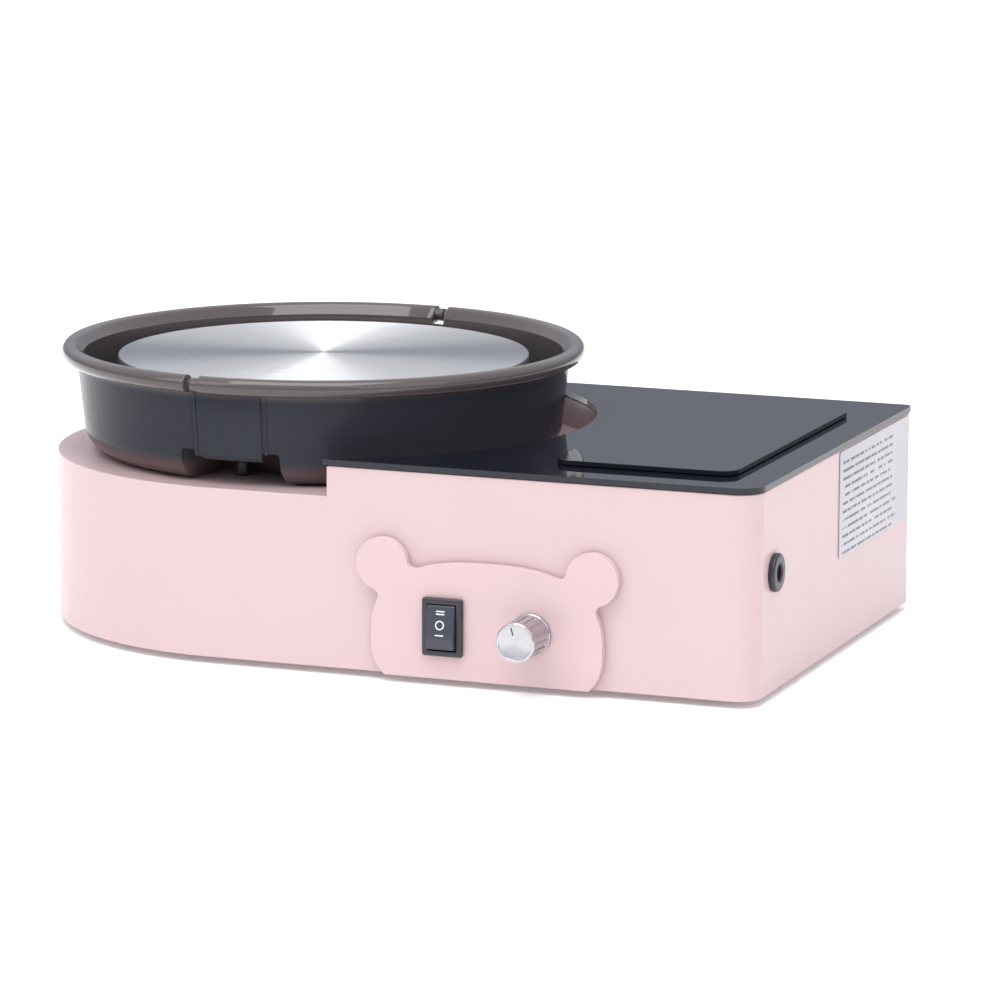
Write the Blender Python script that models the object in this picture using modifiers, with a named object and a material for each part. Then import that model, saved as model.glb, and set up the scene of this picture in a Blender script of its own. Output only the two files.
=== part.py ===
"""Tabletop pottery wheel: a belt-driven wheel head in a D-shaped housing, with a split splash pan.

Metres, +Z up, +X along the front towards the raised block, front face at -Y.
Pieces are placed from the wheel axis at the underside of the housing, which an empty carries
to the middle of the object's footprint, on the surface that the feet stand on.
"""

import math

import bmesh
import bpy
from mathutils import Vector
from mathutils.geometry import interpolate_bezier

# ---------------------------------------------------------------- driving dimensions (metres)
GAP = 0.0003  # between pieces that touch
SLIDE_GAP = 0.00015  # around a shaft in its bore
OVERRUN = 0.002  # how far a cutter passes the wall it cuts

# Housing: a round deck under the pan, and a raised block beside it
DEPTH = 0.1864
END_OFFSET = 0.0058  # the round end's centre, left of the wheel axis
RIGHT_REACH = 0.1990  # wheel axis to the right face
LEDGE_HEIGHT = 0.0616
BLOCK_HEIGHT = 0.0726
WALL = 0.0025
DECK = 0.0025
FRONT_CORNER = 0.0090
BACK_CORNER = 0.0030
RECESS_RADIUS = 0.1013
SPINDLE_OPENING = 0.0120
BOSS_RADIUS = 0.0042

# Plates on the raised block
PLATE_THICKNESS = 0.0021
PLATE_OVERHANG = 0.0005
PLATFORM_THICKNESS = 0.0017
PLATFORM_LEFT = 0.1175  # from the wheel axis
PLATFORM_SIDE_MARGIN = 0.0145
PLATFORM_FRONT_MARGIN = 0.0190
PLATFORM_BACK_MARGIN = 0.0294
PLATFORM_CORNER = 0.0065

# Underside
BASE_THICKNESS = 0.0028
FOOT_HEIGHT = 0.0025
FOOT_RADIUS = 0.0085
SCREW_HEAD_RADIUS = 0.0027
SCREW_HEAD_HEIGHT = 0.0016
SCREW_SHANK_RADIUS = 0.0013
BASE_SCREW_LENGTH = 0.0120
BASE_SCREW_SLOPE = math.radians(50)  # of the two at the round end
BASE_SCREW_MIDDLE_X = 0.0620
BASE_SCREW_FRONT_INSET = 0.0180  # from the right face, beside the power inlet
BASE_SCREW_BACK_INSET = 0.0120
BASE_SCREW_END_INSET = 0.0040  # further in than the bosses' line
FOOT_SIDE_INSET = 0.0240  # from the block's faces
FOOT_LEFT_INSET = 0.0360  # from the round end
FOOT_LEFT_SPREAD = 0.0420
FOOT_EDGE = 0.0008

# Control panel: a rounded head with two round ears
PANEL_X = 0.1012
PANEL_THICKNESS = 0.0030
PANEL_HALF_WIDTH = 0.0433
PANEL_WAIST_Z = 0.0140  # height of its widest line
PANEL_ABOVE = 0.0282
PANEL_BELOW = 0.0230
PANEL_ROUNDNESS = 2.6
EAR_RADIUS = 0.0097
EAR_X = 0.0392
EAR_Z = 0.0395
EAR_START = -60  # degrees, where the ear leaves the fillet from the cheek
EAR_END = 165
CHEEK_TOP = math.radians(20)  # where the head's side turns into the fillet
CROWN_START = math.radians(62)

# Power switch
SWITCH_X = 0.0855
CONTROLS_Z = 0.0189
BEZEL_WIDTH = 0.0150
BEZEL_HEIGHT = 0.0207
BEZEL_THICKNESS = 0.0020
SWITCH_BODY_WIDTH = 0.0128
SWITCH_BODY_HEIGHT = 0.0186
SWITCH_BODY_DEPTH = 0.0150
SWITCH_POCKET_WIDTH = 0.0109
SWITCH_POCKET_HEIGHT = 0.0168
SWITCH_POCKET_DEPTH = 0.0066
TERMINAL_WIDTH = 0.0060
TERMINAL_THICKNESS = 0.0010
TERMINAL_LENGTH = 0.0070
TERMINAL_RISE = 0.0055
ROCKER_WIDTH = 0.0103
ROCKER_HALF_LENGTH = 0.0078
ROCKER_FACE_HALF = 0.0058
ROCKER_FACE_RISE = 0.0028  # face above the pivot
ROCKER_END_RISE = 0.0010
ROCKER_DEPTH = 0.0030  # body behind the pivot
ROCKER_PIVOT_DEPTH = 0.0010  # pivot behind the bezel's face
ROCKER_TILT = math.radians(9.0)

# Speed control
KNOB_X = 0.1183
KNOB_RADIUS = 0.0071
KNOB_SKIRT_RADIUS = 0.0080
KNOB_LENGTH = 0.0160
KNOB_SKIRT_LENGTH = 0.0012
KNOB_STANDOFF = 0.0005
KNOB_CHAMFER = 0.0004
POT_SHAFT_RADIUS = 0.0030
POT_SHAFT_LENGTH = 0.0090
POT_BUSHING_RADIUS = 0.0034
POT_RADIUS = 0.0082
POT_DEPTH = 0.0090
POT_NUT_RADIUS = 0.0050
POT_NUT_THICKNESS = 0.0016

# Power inlet in the right face
INLET_Y = -0.0730
INLET_Z = 0.0425
INLET_FLANGE_RADIUS = 0.0068
INLET_FLANGE_THICKNESS = 0.0020
INLET_BARREL_RADIUS = 0.0053
INLET_DEPTH = 0.0130
INLET_BORE_RADIUS = 0.0030
INLET_BORE_DEPTH = 0.0090
INLET_PIN_RADIUS = 0.0010
INLET_NUT_RADIUS = 0.0078
INLET_NUT_THICKNESS = 0.0020

# Rating label on the right face
LABEL_LENGTH = 0.0860
LABEL_HEIGHT = 0.0390
LABEL_THICKNESS = 0.0003
LABEL_Y = 0.0455
LABEL_Z = 0.0525

# Wheel head and spindle
WHEEL_RADIUS = 0.0760
WHEEL_THICKNESS = 0.0042
WHEEL_TOP = 0.0970
WHEEL_BEVEL = 0.0008
HUB_FLANGE_RADIUS = 0.0260
HUB_FLANGE_THICKNESS = 0.0040
HUB_BOSS_RADIUS = 0.0110
HUB_LENGTH = 0.0260
HUB_SCREW_CIRCLE = 0.0190
HUB_BORE_CAP = 0.0012
SPINDLE_RADIUS = 0.0040
SPINDLE_BOTTOM = 0.0055
SPINDLE_CHAMFER = 0.0005

# Bearings
BEARING_RADIUS = 0.0110
BEARING_WIDTH = 0.0070
CARTRIDGE_RADIUS = 0.0150
CARTRIDGE_FLANGE_RADIUS = 0.0240
CARTRIDGE_FLANGE_THICKNESS = 0.0030
CARTRIDGE_CLEARANCE = 0.0068  # its bottom, above the driven pulley
CARTRIDGE_BORE = 0.0090
SHIELD_RECESS = 0.0005
BEARING_RING = 0.0016

# Splash pan
PAN_TOP = 0.1017
PAN_BEAD_RADIUS = 0.0032
PAN_OUTER_RADIUS = 0.0968
PAN_WALL = 0.0022
PAN_TOP_RADIUS = 0.0910  # wall just below the bead
PAN_FOOT_RADIUS = 0.0885  # wall where the bottom rounding starts
PAN_ROUNDING = 0.0100
PAN_COLLAR_RADIUS = 0.0220
PAN_COLLAR_TOP = 0.0725
PAN_SEAM_ANGLE = math.radians(83.3)  # the seam's back end, from +X
PAN_SEAM_GAP = 0.0005
ARCH_NARROW = 0.0074  # finger arch at each seam: its reach to the narrow side
ARCH_WIDE = 0.0290
ARCH_INNER = 0.0580  # from the wheel axis
ARCH_HEIGHT = 0.0088
PEG_RADIUS = 0.0030
PEG_HEIGHT = 0.0050
PEG_ALONG_SEAM = 0.0660
PEG_OFF_SEAM = 0.0037

# Belt drive
DRIVEN_PULLEY_RADIUS = 0.0450
MOTOR_PULLEY_RADIUS = 0.0075
PULLEY_BOTTOM = 0.0080
PULLEY_WIDTH = 0.0080
PULLEY_FLANGE = 0.0018
PULLEY_FLANGE_THICKNESS = 0.0010
PULLEY_HUB_RADIUS = 0.0100
PULLEY_HUB_DROP = 0.0015
PULLEY_RIM = 0.0030
PULLEY_WEB = 0.0030
PULLEY_WEB_RISE = 0.0025
BELT_WIDTH = 0.0050
BELT_THICKNESS = 0.0012
MOTOR_X = 0.1260
MOTOR_RADIUS = 0.0185
MOTOR_LENGTH = 0.0380
MOTOR_SHAFT_RADIUS = 0.0016
MOTOR_BOSS_RADIUS = 0.0050
MOTOR_SCREW_CIRCLE = 0.0125
MOTOR_SCREW_REACH = 0.0030
MOTOR_CAP_RADIUS = 0.0045
MOTOR_CAP_HEIGHT = 0.0020
MOTOR_EDGE = 0.0015
MOTOR_BORE_DEPTH = 0.0060
MOTOR_SHAFT_OVERHANG = 0.0010
BRACKET_TOP = 0.0230
BRACKET_SHEET = 0.0025
BRACKET_LENGTH = 0.0480
BRACKET_HALF_WIDTH = 0.0260
BRACKET_FLANGE = 0.0110

# Speed controller board
BOARD_LENGTH = 0.0480
BOARD_WIDTH = 0.0300
BOARD_THICKNESS = 0.0016
BOARD_X = 0.1640
BOARD_Y = 0.0600
BOARD_POST_HEIGHT = 0.0070
BOARD_POST_RADIUS = 0.0030
BOARD_POST_INSET = 0.0050
SINK_LENGTH = 0.0140
SINK_WIDTH = 0.0120
SINK_HEIGHT = 0.0140
SINK_X = 0.0110  # its middle, from the board's
SINK_Y = 0.0020
TERMINALS_LENGTH = 0.0200
TERMINALS_WIDTH = 0.0070
TERMINALS_HEIGHT = 0.0090
TERMINALS_X = -0.0080
TERMINALS_Y = -0.0095
TERMINALS_ENTRY = 0.0060  # height of the leads above the board
TERMINALS_PITCH = 0.0050
CAPACITOR_RADIUS = 0.0050
CAPACITOR_HEIGHT = 0.0120
CAPACITOR_X = -0.0100
CAPACITOR_Y = 0.0050

LEAD_RADIUS = 0.0011
LEAD_STUB = 0.0060  # the straight run that leaves each terminal

# ---------------------------------------------------------------- places that follow from them
FRONT = -DEPTH / 2
PANEL_FACE = FRONT - GAP - PANEL_THICKNESS
PLATE_BOTTOM = BLOCK_HEIGHT + GAP
PLATE_TOP = PLATE_BOTTOM + PLATE_THICKNESS
PLATFORM_BOTTOM = PLATE_TOP + GAP
DECK_UNDERSIDE = LEDGE_HEIGHT - DECK
PAN_BOTTOM = LEDGE_HEIGHT + GAP
WHEEL_BOTTOM = WHEEL_TOP - WHEEL_THICKNESS
HUB_TOP = WHEEL_BOTTOM - GAP
CARTRIDGE_TOP = DECK_UNDERSIDE - GAP
CARTRIDGE_BOTTOM = PULLEY_BOTTOM + PULLEY_WIDTH + CARTRIDGE_CLEARANCE
KNOB_BACK = PANEL_FACE - KNOB_STANDOFF
KNOB_FACE = KNOB_BACK - KNOB_LENGTH
INLET_FACE = RIGHT_REACH + GAP + INLET_FLANGE_THICKNESS
LEFT_END = -END_OFFSET - DEPTH / 2
BEZEL_BACK = PANEL_FACE - GAP
PIVOT_Y = BEZEL_BACK - BEZEL_THICKNESS + ROCKER_PIVOT_DEPTH
BASE_INSET = WALL + GAP

# The footprint's middle, from the wheel axis
MIDDLE_X = (min(LEFT_END, -PAN_OUTER_RADIUS) + INLET_FACE) / 2
MIDDLE_Y = (KNOB_FACE + max(PAN_OUTER_RADIUS, DEPTH / 2)) / 2

SEGMENTS_LARGE = 56
SEGMENTS_MEDIUM = 32
SEGMENTS_SMALL = 16


# ---------------------------------------------------------------- scene and materials
def clear_scene():
    """Remove every object, so that the script starts from nothing."""
    for old in list(bpy.data.objects):
        bpy.data.objects.remove(old, do_unlink=True)


def new_collection(name):
    collection = bpy.data.collections.new(name)
    bpy.context.scene.collection.children.link(collection)
    return collection


def make_material(name, colour, roughness, metallic=0.0):
    material = bpy.data.materials.new(name)
    material.use_nodes = True
    material.diffuse_color = (*colour, 1.0)
    shader = material.node_tree.nodes["Principled BSDF"]
    shader.inputs["Base Color"].default_value = (*colour, 1.0)
    shader.inputs["Roughness"].default_value = roughness
    shader.inputs["Metallic"].default_value = metallic
    return material


clear_scene()
PARTS = new_collection("pottery_wheel")
CUTTERS = new_collection("cutters")

PINK_ABS = make_material("pink_abs", (0.86, 0.60, 0.56), 0.25)
PINK_ACRYLIC = make_material("pink_acrylic", (0.84, 0.55, 0.51), 0.20)
BLACK_ACRYLIC = make_material("black_acrylic", (0.020, 0.022, 0.028), 0.06)
SMOKY_PLASTIC = make_material("smoky_plastic", (0.045, 0.048, 0.056), 0.18)
TURNED_ALUMINIUM = make_material("turned_aluminium", (0.80, 0.81, 0.83), 0.28, 1.0)
CAST_ALUMINIUM = make_material("cast_aluminium", (0.55, 0.56, 0.58), 0.45, 1.0)
STEEL = make_material("steel", (0.62, 0.62, 0.63), 0.30, 1.0)
BLACK_PLASTIC = make_material("black_plastic", (0.018, 0.018, 0.020), 0.38)
RUBBER = make_material("rubber", (0.025, 0.025, 0.026), 0.80)
BOARD_GREEN = make_material("board_green", (0.03, 0.16, 0.07), 0.45)
LEAD_RED = make_material("lead_red", (0.45, 0.02, 0.02), 0.45)
LABEL_WHITE = make_material("label_white", (0.86, 0.86, 0.86), 0.40)


def empty(name, parent=None, location=(0, 0, 0)):
    holder = bpy.data.objects.new(name, None)
    PARTS.objects.link(holder)
    holder.parent = parent
    holder.location = location
    return holder


FRAME = empty("wheel_axis", location=(-MIDDLE_X, -MIDDLE_Y, FOOT_HEIGHT))
KNOB_AXIS = empty("knob_axis", FRAME, (KNOB_X, 0, CONTROLS_Z))
ROCKER_AXIS = empty("rocker_axis", FRAME, (SWITCH_X, PIVOT_Y, CONTROLS_Z))
MOTOR_AXIS = empty("motor_axis", FRAME, (MOTOR_X, 0, 0))


# ---------------------------------------------------------------- shapes
def add_object(name, mesh, material, parent=None, location=(0, 0, 0), rotation=(0, 0, 0)):
    """Link a mesh as a part, or as a cutter where it has no material."""
    obj = bpy.data.objects.new(name, mesh)
    obj.parent = parent or FRAME
    obj.location = location
    obj.rotation_euler = rotation
    if material is None:
        CUTTERS.objects.link(obj)
        obj.hide_render = True
        obj.display_type = "WIRE"
    else:
        PARTS.objects.link(obj)
        mesh.materials.append(material)
    return obj


def smooth(mesh, angle=math.radians(35)):
    mesh.shade_smooth()
    mesh.set_sharp_from_angle(angle=angle)


def arc(centre, radius, start, end, steps):
    """Points from start to end, in degrees, both ends included."""
    turns = [math.radians(start + (end - start) * i / steps) for i in range(steps + 1)]
    return [(centre[0] + radius * math.cos(t), centre[1] + radius * math.sin(t)) for t in turns]


def rounded_rectangle(low, high, radius, steps=4):
    corners = (
        ((high[0] - radius, high[1] - radius), 0),
        ((low[0] + radius, high[1] - radius), 90),
        ((low[0] + radius, low[1] + radius), 180),
        ((high[0] - radius, low[1] + radius), 270),
    )
    points = []
    for centre, start in corners:
        points += arc(centre, radius, start, start + 90, steps)
    return points


def curve_to_mesh(curve):
    """The curve's evaluated mesh with its caps welded, and the curve removed."""
    graph = bpy.context.evaluated_depsgraph_get()
    mesh = bpy.data.meshes.new_from_object(curve.evaluated_get(graph))
    shape = bmesh.new()
    shape.from_mesh(mesh)
    bmesh.ops.remove_doubles(shape, verts=shape.verts, dist=1e-6)
    shape.to_mesh(mesh)
    shape.free()
    bpy.data.objects.remove(curve, do_unlink=True)
    return mesh


def slab(name, outlines, low, high, material=None, parent=None, location=(0, 0, 0), rotation=(0, 0, 0)):
    """A flat outline, with any holes after it, filled from the height low to high."""
    data = bpy.data.curves.new(name, "CURVE")
    data.dimensions = "2D"
    data.fill_mode = "BOTH"
    data.extrude = (high - low) / 2
    for outline in outlines:
        spline = data.splines.new("POLY")
        spline.points.add(len(outline) - 1)
        for point, (x, y) in zip(spline.points, outline):
            point.co = (x, y, 0, 1)
        spline.use_cyclic_u = True
    curve = bpy.data.objects.new(name, data)
    PARTS.objects.link(curve)
    mesh = curve_to_mesh(curve)
    for vertex in mesh.vertices:
        vertex.co.z += (low + high) / 2
    return add_object(name, mesh, material, parent, location, rotation)


def box(name, low, high, material=None, parent=None, rotation=(0, 0, 0)):
    shape = bmesh.new()
    bmesh.ops.create_cube(shape, size=1)
    size = Vector(high) - Vector(low)
    bmesh.ops.scale(shape, vec=size, verts=shape.verts)
    bmesh.ops.translate(shape, vec=Vector(low) + size / 2, verts=shape.verts)
    mesh = bpy.data.meshes.new(name)
    shape.to_mesh(mesh)
    shape.free()
    return add_object(name, mesh, material, parent, rotation=rotation)


def cylinder(name, radius, low, high, location=(0, 0, 0), material=None, parent=None,
             rotation=(0, 0, 0), segments=SEGMENTS_SMALL):
    """A cylinder on its own Z from low to high, then turned and placed."""
    shape = bmesh.new()
    bmesh.ops.create_cone(shape, cap_ends=True, segments=segments, radius1=radius,
                          radius2=radius, depth=high - low)
    bmesh.ops.translate(shape, vec=(0, 0, (low + high) / 2), verts=shape.verts)
    mesh = bpy.data.meshes.new(name)
    shape.to_mesh(mesh)
    shape.free()
    smooth(mesh)
    return add_object(name, mesh, material, parent, location, rotation)


def turned(name, profile, material=None, segments=SEGMENTS_MEDIUM, parent=None,
           location=(0, 0, 0), rotation=(0, 0, 0)):
    """A profile of (radius, height) points turned about Z. It is closed unless it ends on the axis."""
    on_axis = profile[0][0] == 0 and profile[-1][0] == 0
    closed = list(profile) + [profile[0]]
    area = sum(a[0] * b[1] - b[0] * a[1] for a, b in zip(closed, closed[1:]))
    points = list(reversed(profile)) if area > 0 else list(profile)
    count = len(points)
    edges = [(i, (i + 1) % count) for i in range(count - 1 if on_axis else count)]
    mesh = bpy.data.meshes.new(name)
    mesh.from_pydata([(radius, 0, height) for radius, height in points], edges, [])
    obj = add_object(name, mesh, material, parent, location, rotation)
    screw = obj.modifiers.new("turn", "SCREW")
    screw.axis = "Z"
    screw.angle = 2 * math.pi
    screw.steps = segments
    screw.render_steps = segments
    screw.use_merge_vertices = True
    screw.merge_threshold = 1e-5
    screw.use_smooth_shade = True
    return obj


def boolean(obj, other, operation):
    modifier = obj.modifiers.new(f"{operation.lower()} {other.name}", "BOOLEAN")
    modifier.operation = operation
    modifier.solver = "EXACT"
    modifier.object = other
    return obj


def cut(obj, *cutters):
    for cutter in cutters:
        boolean(obj, cutter, "DIFFERENCE")
    return obj


def join(obj, *others):
    for other in others:
        boolean(obj, other, "UNION")
    return obj


FACING_FRONT = (math.pi / 2, 0, 0)  # own Z towards -Y, own Y upwards
FACING_RIGHT = (math.pi / 2, 0, math.pi / 2)  # own Z towards +X, own Y upwards


# ---------------------------------------------------------------- housing
def body_outline(inset=0.0):
    """The housing's plan: a half circle at the left, and a rectangle with rounded right corners."""
    half = DEPTH / 2 - inset
    right = RIGHT_REACH - inset
    front = max(FRONT_CORNER - inset, GAP)
    back = max(BACK_CORNER - inset, GAP)
    points = arc((-END_OFFSET, 0), half, 90, 270, 32)
    points += arc((right - front, -half + front), front, 270, 360, 5)
    points += arc((right - back, half - back), back, 0, 90, 3)
    return points


def base_screw_places():
    """Where the base plate is screwed on: near the round end, at the middle and in the block's corners."""
    reach = DEPTH / 2 - WALL - BOSS_RADIUS - 2 * GAP
    left = -END_OFFSET - reach * math.cos(BASE_SCREW_SLOPE)
    spread = reach * math.sin(BASE_SCREW_SLOPE)
    return (
        (left, -spread),
        (left, spread),
        (RIGHT_REACH - BASE_SCREW_FRONT_INSET, -reach + BASE_SCREW_END_INSET),
        (RIGHT_REACH - BASE_SCREW_BACK_INSET, reach - BASE_SCREW_END_INSET),
        (BASE_SCREW_MIDDLE_X, reach - BASE_SCREW_END_INSET / 2),
    )


def housing():
    shell = slab("housing", [body_outline()], 0, BLOCK_HEIGHT, PINK_ABS)
    room = slab("room", [body_outline(WALL)], -OVERRUN, BLOCK_HEIGHT - DECK)
    cut(room, cylinder("deck", RECESS_RADIUS + WALL, DECK_UNDERSIDE, BLOCK_HEIGHT + OVERRUN,
                       segments=SEGMENTS_LARGE))
    recess = cylinder("recess", RECESS_RADIUS, LEDGE_HEIGHT, BLOCK_HEIGHT + OVERRUN,
                      segments=SEGMENTS_LARGE)
    cut(shell, room, recess)
    cut(shell, cylinder("spindle_opening", SPINDLE_OPENING, DECK_UNDERSIDE - OVERRUN,
                        LEDGE_HEIGHT + OVERRUN, segments=24))
    for index, (x, y) in enumerate(base_screw_places()):
        ceiling = LEDGE_HEIGHT if math.hypot(x, y) < RECESS_RADIUS else BLOCK_HEIGHT
        top = ceiling - DECK / 2
        join(shell, cylinder(f"boss_{index}", BOSS_RADIUS, BASE_THICKNESS + GAP, top, (x, y, 0)))
        cut(shell, cylinder(f"boss_hole_{index}", SCREW_SHANK_RADIUS + GAP, 0,
                            BASE_SCREW_LENGTH + OVERRUN, (x, y, 0), segments=12))
    return cut(shell, switch_opening(), bushing_opening("housing_bushing"), inlet_opening())


def switch_opening():
    half_width = SWITCH_BODY_WIDTH / 2 + GAP
    half_height = SWITCH_BODY_HEIGHT / 2 + GAP
    return box("switch_opening",
               (SWITCH_X - half_width, FRONT - PANEL_THICKNESS - OVERRUN, CONTROLS_Z - half_height),
               (SWITCH_X + half_width, FRONT + WALL + OVERRUN, CONTROLS_Z + half_height))


def bushing_opening(name):
    return cylinder(name, POT_BUSHING_RADIUS + GAP, -FRONT - WALL - OVERRUN,
                    -PANEL_FACE + OVERRUN, (KNOB_X, 0, CONTROLS_Z), rotation=FACING_FRONT,
                    segments=20)


def inlet_opening():
    return cylinder("inlet_opening", INLET_BARREL_RADIUS + GAP, RIGHT_REACH - WALL - OVERRUN,
                    RIGHT_REACH + OVERRUN, (0, INLET_Y, INLET_Z), rotation=FACING_RIGHT,
                    segments=20)


def top_plate():
    """A black sheet over the raised block, with the recess's round cut at its left."""
    plate = slab("top_plate", [body_outline(-PLATE_OVERHANG)], PLATE_BOTTOM, PLATE_TOP, BLACK_ACRYLIC)
    return cut(plate, cylinder("plate_recess", RECESS_RADIUS, PLATE_BOTTOM - OVERRUN, PLATE_TOP + OVERRUN,
                               segments=SEGMENTS_LARGE))


def tool_platform():
    low = (PLATFORM_LEFT, FRONT + PLATFORM_FRONT_MARGIN)
    high = (RIGHT_REACH - PLATFORM_SIDE_MARGIN, -FRONT - PLATFORM_BACK_MARGIN)
    return slab("tool_platform", [rounded_rectangle(low, high, PLATFORM_CORNER, 6)],
                PLATFORM_BOTTOM, PLATFORM_BOTTOM + PLATFORM_THICKNESS, BLACK_ACRYLIC)


# ---------------------------------------------------------------- control panel
def panel_head(turn):
    """A point of the panel's rounded head, at this angle from its right-hand tip."""
    across = math.copysign(abs(math.cos(turn)) ** (2 / PANEL_ROUNDNESS), math.cos(turn))
    up = math.copysign(abs(math.sin(turn)) ** (2 / PANEL_ROUNDNESS), math.sin(turn))
    reach = PANEL_ABOVE if up > 0 else PANEL_BELOW
    return (PANEL_HALF_WIDTH * across, PANEL_WAIST_Z + reach * up)


def bend(start, corner, end, steps=5):
    """A fillet from start to end that turns at the corner, without its two ends."""
    points = []
    for i in range(1, steps):
        t = i / steps
        weights = ((1 - t) ** 2, 2 * t * (1 - t), t ** 2)
        points.append(tuple(sum(w * p[k] for w, p in zip(weights, (start, corner, end))) for k in (0, 1)))
    return points


def panel_outline():
    """The right half from the bottom edge to the crown, then its mirror image."""
    bottom = -math.asin((PANEL_WAIST_Z / PANEL_BELOW) ** (PANEL_ROUNDNESS / 2))
    cheek = [panel_head(bottom + (CHEEK_TOP - bottom) * i / 8) for i in range(9)]
    ear = arc((EAR_X, EAR_Z), EAR_RADIUS, EAR_START, EAR_END, 20)
    crown = [panel_head(CROWN_START + (math.pi / 2 - CROWN_START) * i / 6) for i in range(7)]
    lower_corner = (EAR_X, EAR_Z - EAR_RADIUS)
    upper_corner = (EAR_X - EAR_RADIUS, EAR_Z - EAR_RADIUS / 5)
    right = cheek + bend(cheek[-1], lower_corner, ear[0]) + ear
    right += bend(ear[-1], upper_corner, crown[0]) + crown
    left = [(-x, z) for x, z in reversed(right[:-1])]
    return right + left


def control_panel():
    panel = slab("control_panel", [panel_outline()], 0, PANEL_THICKNESS, PINK_ACRYLIC,
                 location=(PANEL_X, FRONT - GAP, 0), rotation=FACING_FRONT)
    return cut(panel, switch_opening(), bushing_opening("panel_bushing"))


# ---------------------------------------------------------------- power switch
def power_switch():
    """Bezel and body in one, with the rocker's pocket and two terminals at the back."""
    half = (BEZEL_WIDTH / 2, BEZEL_HEIGHT / 2)
    body = slab("power_switch", [rounded_rectangle((-half[0], -half[1]), half, 0.0010, 3)],
                0, BEZEL_THICKNESS, BLACK_PLASTIC, location=(SWITCH_X, BEZEL_BACK, CONTROLS_Z),
                rotation=FACING_FRONT)
    centre = Vector((SWITCH_X, 0, CONTROLS_Z))

    def block(name, width, height, front, back, shift=0.0):
        reach = Vector((width / 2, 0, height / 2))
        low = centre - reach + Vector((0, front, shift))
        high = centre + reach + Vector((0, back, shift))
        return box(name, low, high)

    back = FRONT + SWITCH_BODY_DEPTH
    join(body, block("switch_block", SWITCH_BODY_WIDTH, SWITCH_BODY_HEIGHT,
                     BEZEL_BACK - BEZEL_THICKNESS / 2, back))
    for index, shift in enumerate((-TERMINAL_RISE, TERMINAL_RISE)):
        join(body, block(f"switch_terminal_{index}", TERMINAL_WIDTH, TERMINAL_THICKNESS,
                         back - OVERRUN, back + TERMINAL_LENGTH, shift))
    front = BEZEL_BACK - BEZEL_THICKNESS
    return cut(body, block("switch_pocket", SWITCH_POCKET_WIDTH, SWITCH_POCKET_HEIGHT,
                           front - OVERRUN, front + SWITCH_POCKET_DEPTH))


def switch_rocker():
    """Its side outline is drawn level, then tipped with its upper end pressed in."""
    end = [(-ROCKER_FACE_RISE, ROCKER_FACE_HALF), (-ROCKER_END_RISE, ROCKER_HALF_LENGTH),
           (ROCKER_END_RISE, ROCKER_HALF_LENGTH), (ROCKER_DEPTH, ROCKER_FACE_HALF)]
    level = end + [(back, -up) for back, up in reversed(end)]
    cos, sin = math.cos(-ROCKER_TILT), math.sin(-ROCKER_TILT)
    tipped = [(back * cos - up * sin, back * sin + up * cos) for back, up in level]
    return slab("switch_rocker", [tipped], -ROCKER_WIDTH / 2, ROCKER_WIDTH / 2, BLACK_PLASTIC,
                ROCKER_AXIS, rotation=FACING_RIGHT)


# ---------------------------------------------------------------- speed control
def potentiometer():
    body = cylinder("potentiometer", POT_RADIUS, -FRONT - WALL - GAP - POT_DEPTH,
                    -FRONT - WALL - GAP, (KNOB_X, 0, CONTROLS_Z), BLACK_PLASTIC,
                    rotation=FACING_FRONT, segments=24)
    bushing = cylinder("bushing", POT_BUSHING_RADIUS, -FRONT - WALL - OVERRUN,
                       -PANEL_FACE + POT_NUT_THICKNESS, (KNOB_X, 0, CONTROLS_Z),
                       rotation=FACING_FRONT, segments=20)
    bore = cylinder("bushing_bore", POT_SHAFT_RADIUS + SLIDE_GAP, -FRONT, -PANEL_FACE + OVERRUN * 2,
                    (KNOB_X, 0, CONTROLS_Z), rotation=FACING_FRONT, segments=20)
    return cut(join(body, bushing), bore)


def potentiometer_shaft():
    return cylinder("potentiometer_shaft", POT_SHAFT_RADIUS, -FRONT + GAP,
                    -KNOB_BACK + POT_SHAFT_LENGTH, material=STEEL, parent=KNOB_AXIS,
                    rotation=FACING_FRONT, segments=20)


def potentiometer_nut():
    nut = cylinder("potentiometer_nut", POT_NUT_RADIUS, -PANEL_FACE + GAP / 2,
                   -PANEL_FACE + POT_NUT_THICKNESS, (KNOB_X, 0, CONTROLS_Z), STEEL,
                   rotation=FACING_FRONT, segments=6)
    return cut(nut, cylinder("nut_bore", POT_BUSHING_RADIUS + SLIDE_GAP, -FRONT,
                             -PANEL_FACE + OVERRUN * 2, (KNOB_X, 0, CONTROLS_Z),
                             rotation=FACING_FRONT, segments=20))


def speed_knob():
    """Turned from bar: a thin skirt at the panel, a recess for the nut and a bore for the shaft."""
    bore = POT_SHAFT_RADIUS + SLIDE_GAP
    recess = POT_NUT_RADIUS + GAP * 2
    recess_depth = POT_NUT_THICKNESS + GAP * 3
    shaft_end = POT_SHAFT_LENGTH + GAP
    profile = [
        (0, KNOB_LENGTH), (KNOB_RADIUS - KNOB_CHAMFER, KNOB_LENGTH),
        (KNOB_RADIUS, KNOB_LENGTH - KNOB_CHAMFER),
        (KNOB_RADIUS, KNOB_SKIRT_LENGTH), (KNOB_SKIRT_RADIUS, KNOB_SKIRT_LENGTH * 0.8),
        (KNOB_SKIRT_RADIUS, 0), (recess, 0), (recess, recess_depth), (bore, recess_depth),
        (bore, shaft_end), (0, shaft_end),
    ]
    return turned("speed_knob", profile, TURNED_ALUMINIUM, 32, KNOB_AXIS, (0, KNOB_BACK, 0),
                  FACING_FRONT)


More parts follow.
